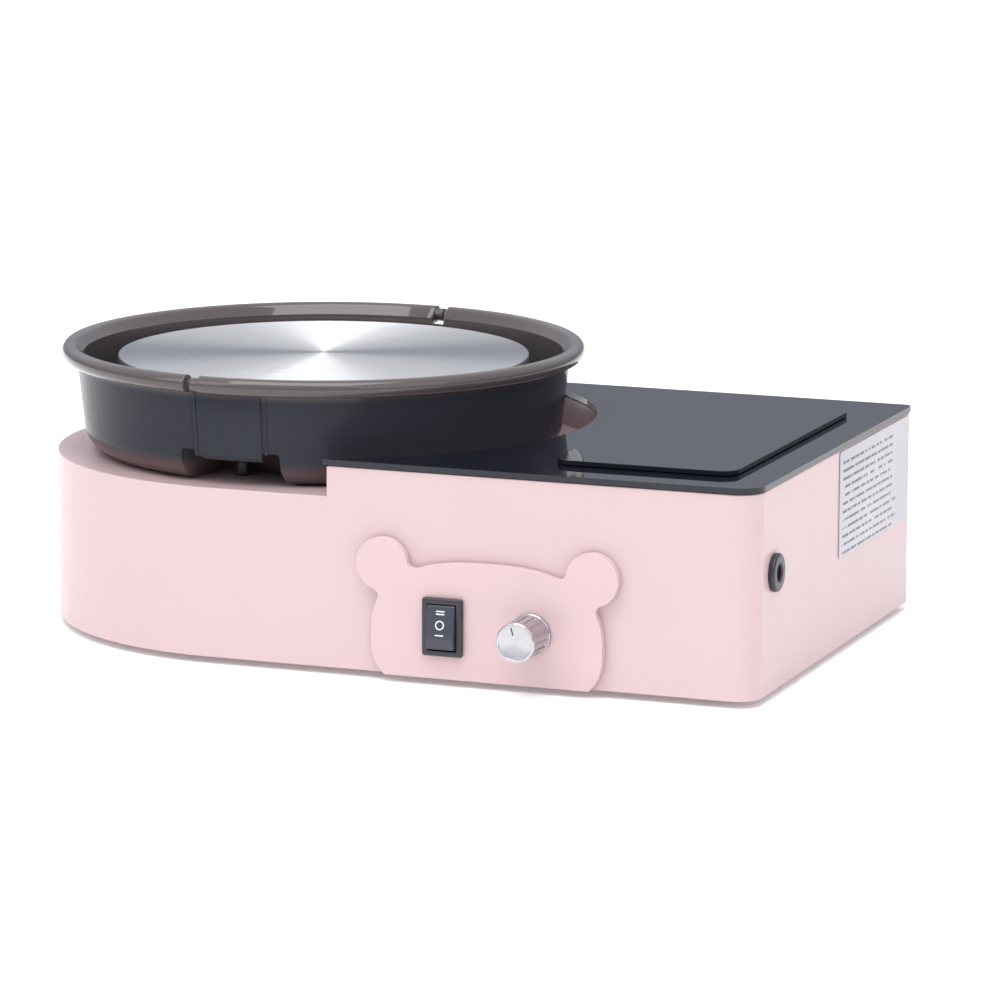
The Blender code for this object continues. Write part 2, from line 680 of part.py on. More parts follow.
# ---------------------------------------------------------------- power inlet
def power_inlet():
    back = INLET_FLANGE_THICKNESS - INLET_DEPTH
    floor = INLET_FLANGE_THICKNESS - INLET_BORE_DEPTH
    pin_tip = -GAP
    edge = 0.0005
    profile = [
        (0, pin_tip), (INLET_PIN_RADIUS, pin_tip), (INLET_PIN_RADIUS, floor),
        (INLET_BORE_RADIUS, floor), (INLET_BORE_RADIUS, INLET_FLANGE_THICKNESS),
        (INLET_FLANGE_RADIUS - edge, INLET_FLANGE_THICKNESS),
        (INLET_FLANGE_RADIUS, INLET_FLANGE_THICKNESS - edge), (INLET_FLANGE_RADIUS, 0),
        (INLET_BARREL_RADIUS, 0), (INLET_BARREL_RADIUS, back), (0, back),
    ]
    return turned("power_inlet", profile, BLACK_PLASTIC, 20,
                  location=(RIGHT_REACH + GAP, INLET_Y, INLET_Z), rotation=FACING_RIGHT)


def inlet_nut():
    inside = RIGHT_REACH - WALL - GAP
    nut = cylinder("inlet_nut", INLET_NUT_RADIUS, inside - INLET_NUT_THICKNESS, inside,
                   (0, INLET_Y, INLET_Z), STEEL, rotation=FACING_RIGHT, segments=6)
    return cut(nut, cylinder("inlet_nut_bore", INLET_BARREL_RADIUS + SLIDE_GAP,
                             inside - INLET_NUT_THICKNESS - OVERRUN, inside + OVERRUN,
                             (0, INLET_Y, INLET_Z), rotation=FACING_RIGHT, segments=20))


def rating_label():
    half = (LABEL_LENGTH / 2, LABEL_HEIGHT / 2)
    return slab("rating_label", [rounded_rectangle((-half[0], -half[1]), half, 0.0010, 2)], 0,
                LABEL_THICKNESS, LABEL_WHITE, location=(RIGHT_REACH + GAP / 2, LABEL_Y, LABEL_Z),
                rotation=FACING_RIGHT)


# ---------------------------------------------------------------- underside
def base_plate():
    """The bottom cover, with the controller board's posts and holes for its screws."""
    plate = slab("base_plate", [body_outline(BASE_INSET)], 0, BASE_THICKNESS, PINK_ABS)
    for index, (x, y) in enumerate(board_post_places()):
        join(plate, cylinder(f"post_{index}", BOARD_POST_RADIUS, BASE_THICKNESS / 2,
                             BASE_THICKNESS + BOARD_POST_HEIGHT, (x, y, 0), segments=12))
    for index, (x, y) in enumerate(base_screw_places()):
        cut(plate,
            cylinder(f"base_hole_{index}", SCREW_SHANK_RADIUS + GAP, -OVERRUN,
                     BASE_THICKNESS + OVERRUN, (x, y, 0), segments=12),
            cylinder(f"base_sink_{index}", SCREW_HEAD_RADIUS + GAP, -OVERRUN,
                     SCREW_HEAD_HEIGHT + GAP, (x, y, 0), segments=12))
    return plate


def screw(name, place, head_low, length, parent=None, points_up=True):
    """A pan-head screw, its head's outer face at head_low."""
    sign = 1 if points_up else -1
    profile = [(0, 0), (SCREW_HEAD_RADIUS, 0), (SCREW_HEAD_RADIUS, SCREW_HEAD_HEIGHT),
               (SCREW_SHANK_RADIUS, SCREW_HEAD_HEIGHT), (SCREW_SHANK_RADIUS, length), (0, length)]
    profile = [(radius, sign * height) for radius, height in profile]
    return turned(name, profile, STEEL, 12, parent, (*place, head_low))


def base_screws():
    for index, place in enumerate(base_screw_places(), 1):
        screw(f"base_screw_{index}", place, GAP / 2, BASE_SCREW_LENGTH)


def foot_places():
    left = LEFT_END + FOOT_LEFT_INSET
    right = RIGHT_REACH - FOOT_SIDE_INSET
    return {
        "left_front": (left, -FOOT_LEFT_SPREAD),
        "left_back": (left, FOOT_LEFT_SPREAD),
        "right_front": (right, FRONT + FOOT_SIDE_INSET),
        "right_back": (right, -FRONT - FOOT_SIDE_INSET),
    }


def rubber_feet():
    top = -GAP
    bottom = -FOOT_HEIGHT
    profile = [(0, top), (FOOT_RADIUS, top), (FOOT_RADIUS - FOOT_EDGE / 2, bottom + FOOT_EDGE),
               (FOOT_RADIUS - FOOT_EDGE, bottom), (0, bottom)]
    for corner, place in foot_places().items():
        turned(f"foot_{corner}", profile, RUBBER, 20, location=(*place, 0))


# ---------------------------------------------------------------- wheel head and spindle
def wheel_head():
    profile = [(0, WHEEL_TOP), (WHEEL_RADIUS - WHEEL_BEVEL, WHEEL_TOP),
               (WHEEL_RADIUS, WHEEL_TOP - WHEEL_BEVEL), (WHEEL_RADIUS, WHEEL_BOTTOM + WHEEL_BEVEL),
               (WHEEL_RADIUS - WHEEL_BEVEL, WHEEL_BOTTOM), (0, WHEEL_BOTTOM)]
    head = turned("wheel_head", profile, TURNED_ALUMINIUM, SEGMENTS_LARGE)
    for index, (x, y) in enumerate(hub_screw_places()):
        cut(head, cylinder(f"tapped_hole_{index}", SCREW_SHANK_RADIUS + GAP, WHEEL_BOTTOM - OVERRUN,
                           WHEEL_BOTTOM + WHEEL_THICKNESS * 0.6, (x, y, 0), segments=12))
    return head


def hub_screw_places():
    turns = [math.radians(30 + 120 * i) for i in range(3)]
    return [(HUB_SCREW_CIRCLE * math.cos(t), HUB_SCREW_CIRCLE * math.sin(t)) for t in turns]


def wheel_hub():
    """A flange under the wheel head and a boss clamped on the spindle, with a blind bore."""
    bore = SPINDLE_RADIUS + SLIDE_GAP
    bottom = HUB_TOP - HUB_LENGTH
    bore_top = HUB_TOP - HUB_BORE_CAP
    profile = [(0, HUB_TOP), (HUB_FLANGE_RADIUS, HUB_TOP),
               (HUB_FLANGE_RADIUS, HUB_TOP - HUB_FLANGE_THICKNESS),
               (HUB_BOSS_RADIUS, HUB_TOP - HUB_FLANGE_THICKNESS), (HUB_BOSS_RADIUS, bottom),
               (bore, bottom), (bore, bore_top), (0, bore_top)]
    hub = turned("wheel_hub", profile, CAST_ALUMINIUM, SEGMENTS_MEDIUM)
    for index, (x, y) in enumerate(hub_screw_places()):
        cut(hub, cylinder(f"hub_hole_{index}", SCREW_SHANK_RADIUS + GAP,
                          HUB_TOP - HUB_FLANGE_THICKNESS - OVERRUN, HUB_TOP + OVERRUN, (x, y, 0),
                          segments=12))
    return hub


def hub_screws():
    head = HUB_TOP - HUB_FLANGE_THICKNESS - GAP - SCREW_HEAD_HEIGHT
    length = SCREW_HEAD_HEIGHT + HUB_FLANGE_THICKNESS + WHEEL_THICKNESS * 0.5
    for index, place in enumerate(hub_screw_places(), 1):
        screw(f"hub_screw_{index}", place, head, length)


def spindle():
    top = HUB_TOP - HUB_BORE_CAP - GAP
    face = SPINDLE_RADIUS - SPINDLE_CHAMFER
    profile = [(0, top), (face, top), (SPINDLE_RADIUS, top - SPINDLE_CHAMFER),
               (SPINDLE_RADIUS, SPINDLE_BOTTOM + SPINDLE_CHAMFER), (face, SPINDLE_BOTTOM),
               (0, SPINDLE_BOTTOM)]
    return turned("spindle", profile, STEEL, 24)


def bearing_cartridge():
    """A flanged tube under the deck, with a seat for a bearing at each end."""
    seat = BEARING_RADIUS + SLIDE_GAP
    depth = BEARING_WIDTH + GAP
    profile = [
        (seat, CARTRIDGE_TOP), (CARTRIDGE_FLANGE_RADIUS, CARTRIDGE_TOP),
        (CARTRIDGE_FLANGE_RADIUS, CARTRIDGE_TOP - CARTRIDGE_FLANGE_THICKNESS),
        (CARTRIDGE_RADIUS, CARTRIDGE_TOP - CARTRIDGE_FLANGE_THICKNESS),
        (CARTRIDGE_RADIUS, CARTRIDGE_BOTTOM), (seat, CARTRIDGE_BOTTOM),
        (seat, CARTRIDGE_BOTTOM + depth), (CARTRIDGE_BORE, CARTRIDGE_BOTTOM + depth),
        (CARTRIDGE_BORE, CARTRIDGE_TOP - depth), (seat, CARTRIDGE_TOP - depth),
    ]
    return turned("bearing_cartridge", profile, CAST_ALUMINIUM, 24)


def ball_bearing(name, bottom):
    """A sealed bearing: its shields lie just below the faces of its rings."""
    bore = SPINDLE_RADIUS + SLIDE_GAP
    top = bottom + BEARING_WIDTH
    inner_ring = bore + BEARING_RING
    outer_ring = BEARING_RADIUS - BEARING_RING
    profile = [
        (bore, top), (inner_ring, top), (inner_ring, top - SHIELD_RECESS),
        (outer_ring, top - SHIELD_RECESS), (outer_ring, top), (BEARING_RADIUS, top),
        (BEARING_RADIUS, bottom), (outer_ring, bottom), (outer_ring, bottom + SHIELD_RECESS),
        (inner_ring, bottom + SHIELD_RECESS), (inner_ring, bottom), (bore, bottom),
    ]
    return turned(name, profile, STEEL, 20)


# ---------------------------------------------------------------- splash pan
def pan_profile():
    """The pan's section: collar, floor, rounded foot, drafted wall and a rolled bead."""
    low = PAN_BOTTOM
    inner_collar = PAN_COLLAR_RADIUS - PAN_WALL
    foot = (PAN_FOOT_RADIUS - PAN_ROUNDING, low + PAN_ROUNDING)
    bead = (PAN_OUTER_RADIUS - PAN_BEAD_RADIUS, PAN_TOP - PAN_BEAD_RADIUS)
    outside = [(inner_collar, PAN_COLLAR_TOP), (inner_collar, low)]
    outside += arc(foot, PAN_ROUNDING, -90, 0, 5)
    outside += [(PAN_TOP_RADIUS, bead[1] - PAN_BEAD_RADIUS)]
    rim = arc(bead, PAN_BEAD_RADIUS, -90, 150, 8)
    inside = [(PAN_TOP_RADIUS - PAN_WALL, bead[1])]
    inside += arc(foot, PAN_ROUNDING - PAN_WALL, 0, -90, 4)
    inside += [(PAN_COLLAR_RADIUS, low + PAN_WALL), (PAN_COLLAR_RADIUS, PAN_COLLAR_TOP)]
    return outside + rim + inside


def pan_envelope_profile():
    """The pan's outside made solid, half a wall inside its skin."""
    shrink = PAN_WALL / 2
    foot = (PAN_FOOT_RADIUS - PAN_ROUNDING, PAN_BOTTOM + PAN_ROUNDING)
    points = [(0, PAN_BOTTOM + shrink)]
    points += arc(foot, PAN_ROUNDING - shrink, -90, 0, 5)
    top = PAN_TOP - 2 * PAN_BEAD_RADIUS
    return points + [(PAN_TOP_RADIUS - shrink, top), (0, top)]


def seam_box(name, across, along, heights, half_turn):
    """A box set out from the seam: across it, along it and upwards."""
    turn = PAN_SEAM_ANGLE - math.pi / 2 + (math.pi if half_turn else 0)
    low, high = zip(across, along, heights)
    return box(name, low, high, rotation=(0, 0, turn))


def pan_half(name, is_left):
    """One of two equal mouldings. Each seam end has a finger arch in the pan's foot."""
    pan = turned(name, pan_profile(), SMOKY_PLASTIC, SEGMENTS_LARGE)
    reach = PAN_OUTER_RADIUS + OVERRUN
    low = PAN_BOTTOM
    for index, half_turn in enumerate((False, True)):
        tag = f"{name}_{index}"
        hood = seam_box(f"hood_{tag}", (-ARCH_NARROW - PAN_WALL, ARCH_WIDE + PAN_WALL),
                        (-reach, -ARCH_INNER + PAN_WALL),
                        (low - OVERRUN, low + ARCH_HEIGHT + PAN_WALL), half_turn)
        envelope = turned(f"envelope_{tag}", pan_envelope_profile(), None, SEGMENTS_LARGE)
        join(pan, boolean(hood, envelope, "INTERSECT"))
        cut(pan, seam_box(f"arch_{tag}", (-ARCH_NARROW, ARCH_WIDE), (-reach, -ARCH_INNER),
                          (low - 2 * OVERRUN, low + ARCH_HEIGHT), half_turn))
    other_side = seam_box(f"other_side_{name}", (-PAN_SEAM_GAP / 2, reach), (-reach, reach),
                          (low - 2 * OVERRUN, PAN_TOP + OVERRUN), not is_left)
    return cut(pan, other_side)


def pan_pegs():
    """Two pegs on the deck, one under each seam end's arch."""
    for name, half_turn in (("pan_peg_front", False), ("pan_peg_back", True)):
        turn = PAN_SEAM_ANGLE - math.pi / 2 + (math.pi if half_turn else 0)
        place = Vector((PEG_OFF_SEAM, -PEG_ALONG_SEAM, 0))
        x = place.x * math.cos(turn) - place.y * math.sin(turn)
        y = place.x * math.sin(turn) + place.y * math.cos(turn)
        edge = 0.0006
        low = LEDGE_HEIGHT + GAP
        profile = [(0, low + PEG_HEIGHT), (PEG_RADIUS - edge, low + PEG_HEIGHT),
                   (PEG_RADIUS, low + PEG_HEIGHT - edge), (PEG_RADIUS, low), (0, low)]
        turned(name, profile, BLACK_PLASTIC, SEGMENTS_SMALL, location=(x, y, 0))


# ---------------------------------------------------------------- belt drive
def pulley_rim(radius):
    """The rim's outer side, top to bottom, with a flange above and below the belt."""
    top = PULLEY_BOTTOM + PULLEY_WIDTH
    lip = radius + PULLEY_FLANGE
    inner_top = top - PULLEY_FLANGE_THICKNESS
    inner_bottom = PULLEY_BOTTOM + PULLEY_FLANGE_THICKNESS
    return [(lip, top), (lip, inner_top), (radius, inner_top), (radius, inner_bottom),
            (lip, inner_bottom), (lip, PULLEY_BOTTOM)]


def driven_pulley():
    bore = SPINDLE_RADIUS + SLIDE_GAP
    hub = PULLEY_HUB_RADIUS
    rim = DRIVEN_PULLEY_RADIUS - PULLEY_RIM
    web_low = PULLEY_BOTTOM + PULLEY_WEB_RISE
    web_high = web_low + PULLEY_WEB
    hub_low = PULLEY_BOTTOM - PULLEY_HUB_DROP
    top = PULLEY_BOTTOM + PULLEY_WIDTH
    profile = [(bore, top), (hub, top), (hub, web_high), (rim, web_high), (rim, top)]
    profile += pulley_rim(DRIVEN_PULLEY_RADIUS)
    profile += [(rim, PULLEY_BOTTOM), (rim, web_low), (hub, web_low), (hub, hub_low), (bore, hub_low)]
    return turned("driven_pulley", profile, BLACK_PLASTIC, 36)


def motor_pulley():
    bore = MOTOR_SHAFT_RADIUS + SLIDE_GAP
    profile = [(bore, PULLEY_BOTTOM + PULLEY_WIDTH)] + pulley_rim(MOTOR_PULLEY_RADIUS)
    return turned("motor_pulley", profile + [(bore, PULLEY_BOTTOM)], CAST_ALUMINIUM, 24, MOTOR_AXIS)


def belt_loop(clearance):
    """The line round both pulleys, this far from their belt faces."""
    big = DRIVEN_PULLEY_RADIUS + clearance
    small = MOTOR_PULLEY_RADIUS + clearance
    wrap = math.degrees(math.acos((big - small) / MOTOR_X))
    return arc((0, 0), big, wrap, 360 - wrap, 32) + arc((MOTOR_X, 0), small, -wrap, wrap, 12)


def drive_belt():
    middle = PULLEY_BOTTOM + PULLEY_WIDTH / 2
    return slab("drive_belt", [belt_loop(GAP + BELT_THICKNESS), belt_loop(GAP)],
                middle - BELT_WIDTH / 2, middle + BELT_WIDTH / 2, RUBBER)


def motor():
    low = BRACKET_TOP + GAP
    high = low + MOTOR_LENGTH
    cap = high + MOTOR_CAP_HEIGHT
    bore = MOTOR_SHAFT_RADIUS + SLIDE_GAP
    boss_low = BRACKET_TOP - BRACKET_SHEET
    profile = [
        (0, cap), (MOTOR_CAP_RADIUS, cap), (MOTOR_CAP_RADIUS, high), (MOTOR_RADIUS - MOTOR_EDGE, high),
        (MOTOR_RADIUS, high - MOTOR_EDGE), (MOTOR_RADIUS, low), (MOTOR_BOSS_RADIUS, low),
        (MOTOR_BOSS_RADIUS, boss_low), (bore, boss_low), (bore, low + MOTOR_BORE_DEPTH),
        (0, low + MOTOR_BORE_DEPTH),
    ]
    can = turned("motor", profile, STEEL, SEGMENTS_MEDIUM, location=(MOTOR_X, 0, 0))
    for index, (x, y) in enumerate(motor_screw_places()):
        cut(can, cylinder(f"motor_hole_{index}", SCREW_SHANK_RADIUS + GAP, low - OVERRUN,
                          low + MOTOR_SCREW_REACH + GAP, (x, y, 0), segments=12))
    return can


def motor_shaft():
    return cylinder("motor_shaft", MOTOR_SHAFT_RADIUS, PULLEY_BOTTOM - MOTOR_SHAFT_OVERHANG,
                    BRACKET_TOP + MOTOR_BORE_DEPTH, material=STEEL, parent=MOTOR_AXIS)


def motor_screw_places():
    return ((MOTOR_X, -MOTOR_SCREW_CIRCLE), (MOTOR_X, MOTOR_SCREW_CIRCLE))


def motor_screws():
    head = BRACKET_TOP - BRACKET_SHEET - GAP - SCREW_HEAD_HEIGHT
    for index, place in enumerate(motor_screw_places(), 1):
        screw(f"motor_screw_{index}", place, head,
              SCREW_HEAD_HEIGHT + BRACKET_SHEET + MOTOR_SCREW_REACH)


def motor_bracket():
    """A hat section over the belt, open at both ends, with the motor on its top."""
    low = BASE_THICKNESS + GAP
    sheet = BRACKET_SHEET
    wide = BRACKET_HALF_WIDTH
    half = [(wide + BRACKET_FLANGE, low), (wide + BRACKET_FLANGE, low + sheet), (wide, low + sheet),
            (wide, BRACKET_TOP)]
    inner = [(-(wide - sheet), low), (-(wide - sheet), BRACKET_TOP - sheet)]
    outline = half + [(-y, z) for y, z in reversed(half)]
    outline += inner + [(-y, z) for y, z in reversed(inner)]
    # Own X lies across the object and own Y upwards
    bracket = slab("motor_bracket", [outline], MOTOR_X - BRACKET_LENGTH / 2,
                   MOTOR_X + BRACKET_LENGTH / 2, STEEL, rotation=FACING_RIGHT)
    cut(bracket, cylinder("motor_boss_hole", MOTOR_BOSS_RADIUS + GAP, BRACKET_TOP - sheet - OVERRUN,
                          BRACKET_TOP + OVERRUN, (MOTOR_X, 0, 0), segments=20))
    for index, (x, y) in enumerate(motor_screw_places()):
        cut(bracket, cylinder(f"bracket_hole_{index}", SCREW_SHANK_RADIUS + GAP,
                              BRACKET_TOP - sheet - OVERRUN, BRACKET_TOP + OVERRUN, (x, y, 0),
                              segments=12))
    return bracket


# ---------------------------------------------------------------- controller board and leads
def board_post_places():
    reach_x = BOARD_LENGTH / 2 - BOARD_POST_INSET
    reach_y = BOARD_WIDTH / 2 - BOARD_POST_INSET
    return [(BOARD_X + i * reach_x, BOARD_Y + j * reach_y) for i in (-1, 1) for j in (-1, 1)]


def controller_board():
    """The board with its heat sink, capacitor and terminal block, on the base plate's posts."""
    low = BASE_THICKNESS + BOARD_POST_HEIGHT + GAP
    top = low + BOARD_THICKNESS
    sink = top - BOARD_THICKNESS / 2

    def block(name, length, width, bottom, height, x=0.0, y=0.0, material=None):
        middle = Vector((BOARD_X + x, BOARD_Y + y, 0))
        reach = Vector((length / 2, width / 2, 0))
        return box(name, middle - reach + Vector((0, 0, bottom)), middle + reach + Vector((0, 0, height)),
                   material)

    board = block("controller_board", BOARD_LENGTH, BOARD_WIDTH, low, top, material=BOARD_GREEN)
    return join(
        board,
        block("heat_sink", SINK_LENGTH, SINK_WIDTH, sink, top + SINK_HEIGHT, SINK_X, SINK_Y),
        block("terminal_block", TERMINALS_LENGTH, TERMINALS_WIDTH, sink, top + TERMINALS_HEIGHT,
              TERMINALS_X, TERMINALS_Y),
        cylinder("capacitor", CAPACITOR_RADIUS, sink, top + CAPACITOR_HEIGHT,
                 (BOARD_X + CAPACITOR_X, BOARD_Y + CAPACITOR_Y, 0)))


def smooth_route(route):
    """Points along a smooth curve through the route's own points, about three diameters apart."""
    points = [Vector(point) for point in route]
    runs = [(b - a).normalized() for a, b in zip(points, points[1:])]
    headings = [runs[0]] + [(a + b).normalized() for a, b in zip(runs, runs[1:])] + [runs[-1]]
    path = [points[0]]
    for start, end, leaving, arriving in zip(points, points[1:], headings, headings[1:]):
        reach = (end - start).length / 3
        count = max(3, round((end - start).length / (LEAD_RADIUS * 6)) + 1)
        path += interpolate_bezier(start, start + leaving * reach, end - arriving * reach, end, count)[1:]
    return path


def lead(name, route):
    """A round lead with flat ends."""
    path = smooth_route(route)
    data = bpy.data.curves.new(name, "CURVE")
    data.dimensions = "3D"
    data.bevel_depth = LEAD_RADIUS
    data.bevel_resolution = 1
    data.use_fill_caps = True
    spline = data.splines.new("POLY")
    spline.points.add(len(path) - 1)
    for point, place in zip(spline.points, path):
        point.co = (*place, 1)
    curve = bpy.data.objects.new(name, data)
    PARTS.objects.link(curve)
    return add_object(name, curve_to_mesh(curve), LEAD_RED)


def leads():
    """Each lead ends just short of the terminals that it is soldered or clamped to."""
    terminal_z = BASE_THICKNESS + BOARD_POST_HEIGHT + BOARD_THICKNESS + TERMINALS_ENTRY
    terminal_y = BOARD_Y + TERMINALS_Y - TERMINALS_WIDTH / 2 - LEAD_RADIUS
    inlet_x = RIGHT_REACH + GAP + INLET_FLANGE_THICKNESS - INLET_DEPTH - GAP
    switch_back = FRONT + SWITCH_BODY_DEPTH + TERMINAL_LENGTH + GAP
    switch_z = CONTROLS_Z + TERMINAL_RISE
    pot_back = FRONT + WALL + GAP + POT_DEPTH + GAP
    motor_top = BRACKET_TOP + GAP + MOTOR_LENGTH + GAP
    # The three front leads lie side by side past the bracket's open end
    beside = MOTOR_X + BRACKET_LENGTH / 2 + 3 * LEAD_RADIUS
    pitch = 4 * LEAD_RADIUS
    floor = BASE_THICKNESS + 4 * LEAD_RADIUS

    def end(index):
        x = BOARD_X + TERMINALS_X + TERMINALS_LENGTH / 2 - 0.003 - index * TERMINALS_PITCH
        return (x, terminal_y - 2 * LEAD_STUB, terminal_z), (x, terminal_y, terminal_z)

    lead("lead_inlet", ((inlet_x, INLET_Y, INLET_Z), (inlet_x - LEAD_STUB, INLET_Y, INLET_Z),
                        (beside + 2 * pitch + 0.010, -0.040, floor + 0.006),
                        (beside + 2 * pitch, 0.010, floor), *end(0)))
    lead("lead_switch", ((SWITCH_X, switch_back, switch_z), (SWITCH_X, switch_back + LEAD_STUB, switch_z),
                         (MOTOR_X, -0.044, CONTROLS_Z + 0.010), (beside + pitch, -0.030, floor + 0.004),
                         (beside + pitch, 0.010, floor), *end(1)))
    lead("lead_speed", ((KNOB_X, pot_back, CONTROLS_Z), (KNOB_X, pot_back + LEAD_STUB, CONTROLS_Z),
                        (beside - 0.010, -0.056, floor), (beside, -0.040, floor), (beside, 0.010, floor),
                        *end(2)))
    lead("lead_motor", ((MOTOR_X + 0.010, 0.004, motor_top),
                        (MOTOR_X + 0.010, 0.004, motor_top + LEAD_STUB / 2),
                        (MOTOR_X + 0.024, 0.016, motor_top - 0.006), (BOARD_X - 0.016, 0.030, 0.030),
                        *end(3)))


def build():
    housing()
    top_plate()
    tool_platform()
    control_panel()
    power_switch()
    switch_rocker()
    potentiometer()
    potentiometer_shaft()
    potentiometer_nut()
    speed_knob()
    power_inlet()
    inlet_nut()
    rating_label()
    base_plate()
    base_screws()
    rubber_feet()
    wheel_head()
    wheel_hub()
    hub_screws()
    spindle()
    bearing_cartridge()
    ball_bearing("upper_bearing", CARTRIDGE_TOP - BEARING_WIDTH)
    ball_bearing("lower_bearing", CARTRIDGE_BOTTOM)
    pan_half("pan_half_left", True)
    pan_half("pan_half_right", False)
    pan_pegs()
    driven_pulley()
    motor_pulley()
    drive_belt()
    motor()
    motor_shaft()
    motor_screws()
    motor_bracket()
    controller_board()
    leads()


build()
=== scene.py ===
"""Looks of a tabletop pottery wheel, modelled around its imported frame.

Metres, +Z up, the front towards -Y. Sizes are set out from the wheel's axis at the underside of the
housing, and every finished mesh holds its own place, as the frame's nodes do.
"""

import sys
import logging
import math
from collections.abc import Callable, Iterator, Sequence
from contextlib import contextmanager
from dataclasses import dataclass
from enum import Enum

import bmesh
import bpy
from mathutils import Matrix, Vector


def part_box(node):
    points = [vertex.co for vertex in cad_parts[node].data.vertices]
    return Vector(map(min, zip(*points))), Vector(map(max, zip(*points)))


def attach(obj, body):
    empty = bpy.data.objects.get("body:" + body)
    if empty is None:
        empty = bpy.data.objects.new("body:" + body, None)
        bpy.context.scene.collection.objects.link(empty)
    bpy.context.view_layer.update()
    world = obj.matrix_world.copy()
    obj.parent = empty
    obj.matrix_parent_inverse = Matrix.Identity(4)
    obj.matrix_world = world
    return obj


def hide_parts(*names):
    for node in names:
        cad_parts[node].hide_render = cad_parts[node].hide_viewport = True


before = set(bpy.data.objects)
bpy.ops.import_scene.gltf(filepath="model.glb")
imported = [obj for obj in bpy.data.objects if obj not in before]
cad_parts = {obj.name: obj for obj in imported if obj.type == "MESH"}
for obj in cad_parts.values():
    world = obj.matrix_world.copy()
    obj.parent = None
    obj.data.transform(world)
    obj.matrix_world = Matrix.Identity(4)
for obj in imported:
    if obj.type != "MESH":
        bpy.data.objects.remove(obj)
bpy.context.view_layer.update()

LOG = logging.getLogger("pottery_wheel")

Point = Sequence[float]
Colour = tuple[float, float, float]


def middle(node: str) -> Vector:
    """The middle of a frame node's box, in metres."""
    low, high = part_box(node)
    return (low + high) / 2


WHEEL_MIDDLE = middle("wheel_head")
ORIGIN = Vector((WHEEL_MIDDLE.x, WHEEL_MIDDLE.y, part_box("housing")[0].z))
GAP = 0.0003  # between pieces that touch
OVERRUN = 0.002  # how far a cutting solid reaches past a face
SHARP = 42.0  # degrees: edges that turn further are rounded
CLOSE = 1e-5  # metres: how exactly a vertex is matched to a face's place


def corners_of(node: str) -> tuple[Vector, Vector]:
    """A frame node's lowest and highest corners, from the wheel's axis at the housing's underside."""
    low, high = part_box(node)
    return low - ORIGIN, high - ORIGIN


class Element(Enum):
    """What an edit-mode selection is made of."""

    VERT = "verts"
    EDGE = "edges"
    FACE = "faces"


class Joinery(Enum):
    """How a second solid changes the first one."""

    CUT = "DIFFERENCE"
    WELD = "UNION"
    COMMON = "INTERSECT"


class Facing(Enum):
    """Where a piece that was modelled lying on its back looks once it is fitted."""

    UP = (0.0, 0.0, 0.0)
    FRONT = (math.pi / 2, 0.0, 0.0)
    RIGHT = (math.pi / 2, 0.0, math.pi / 2)


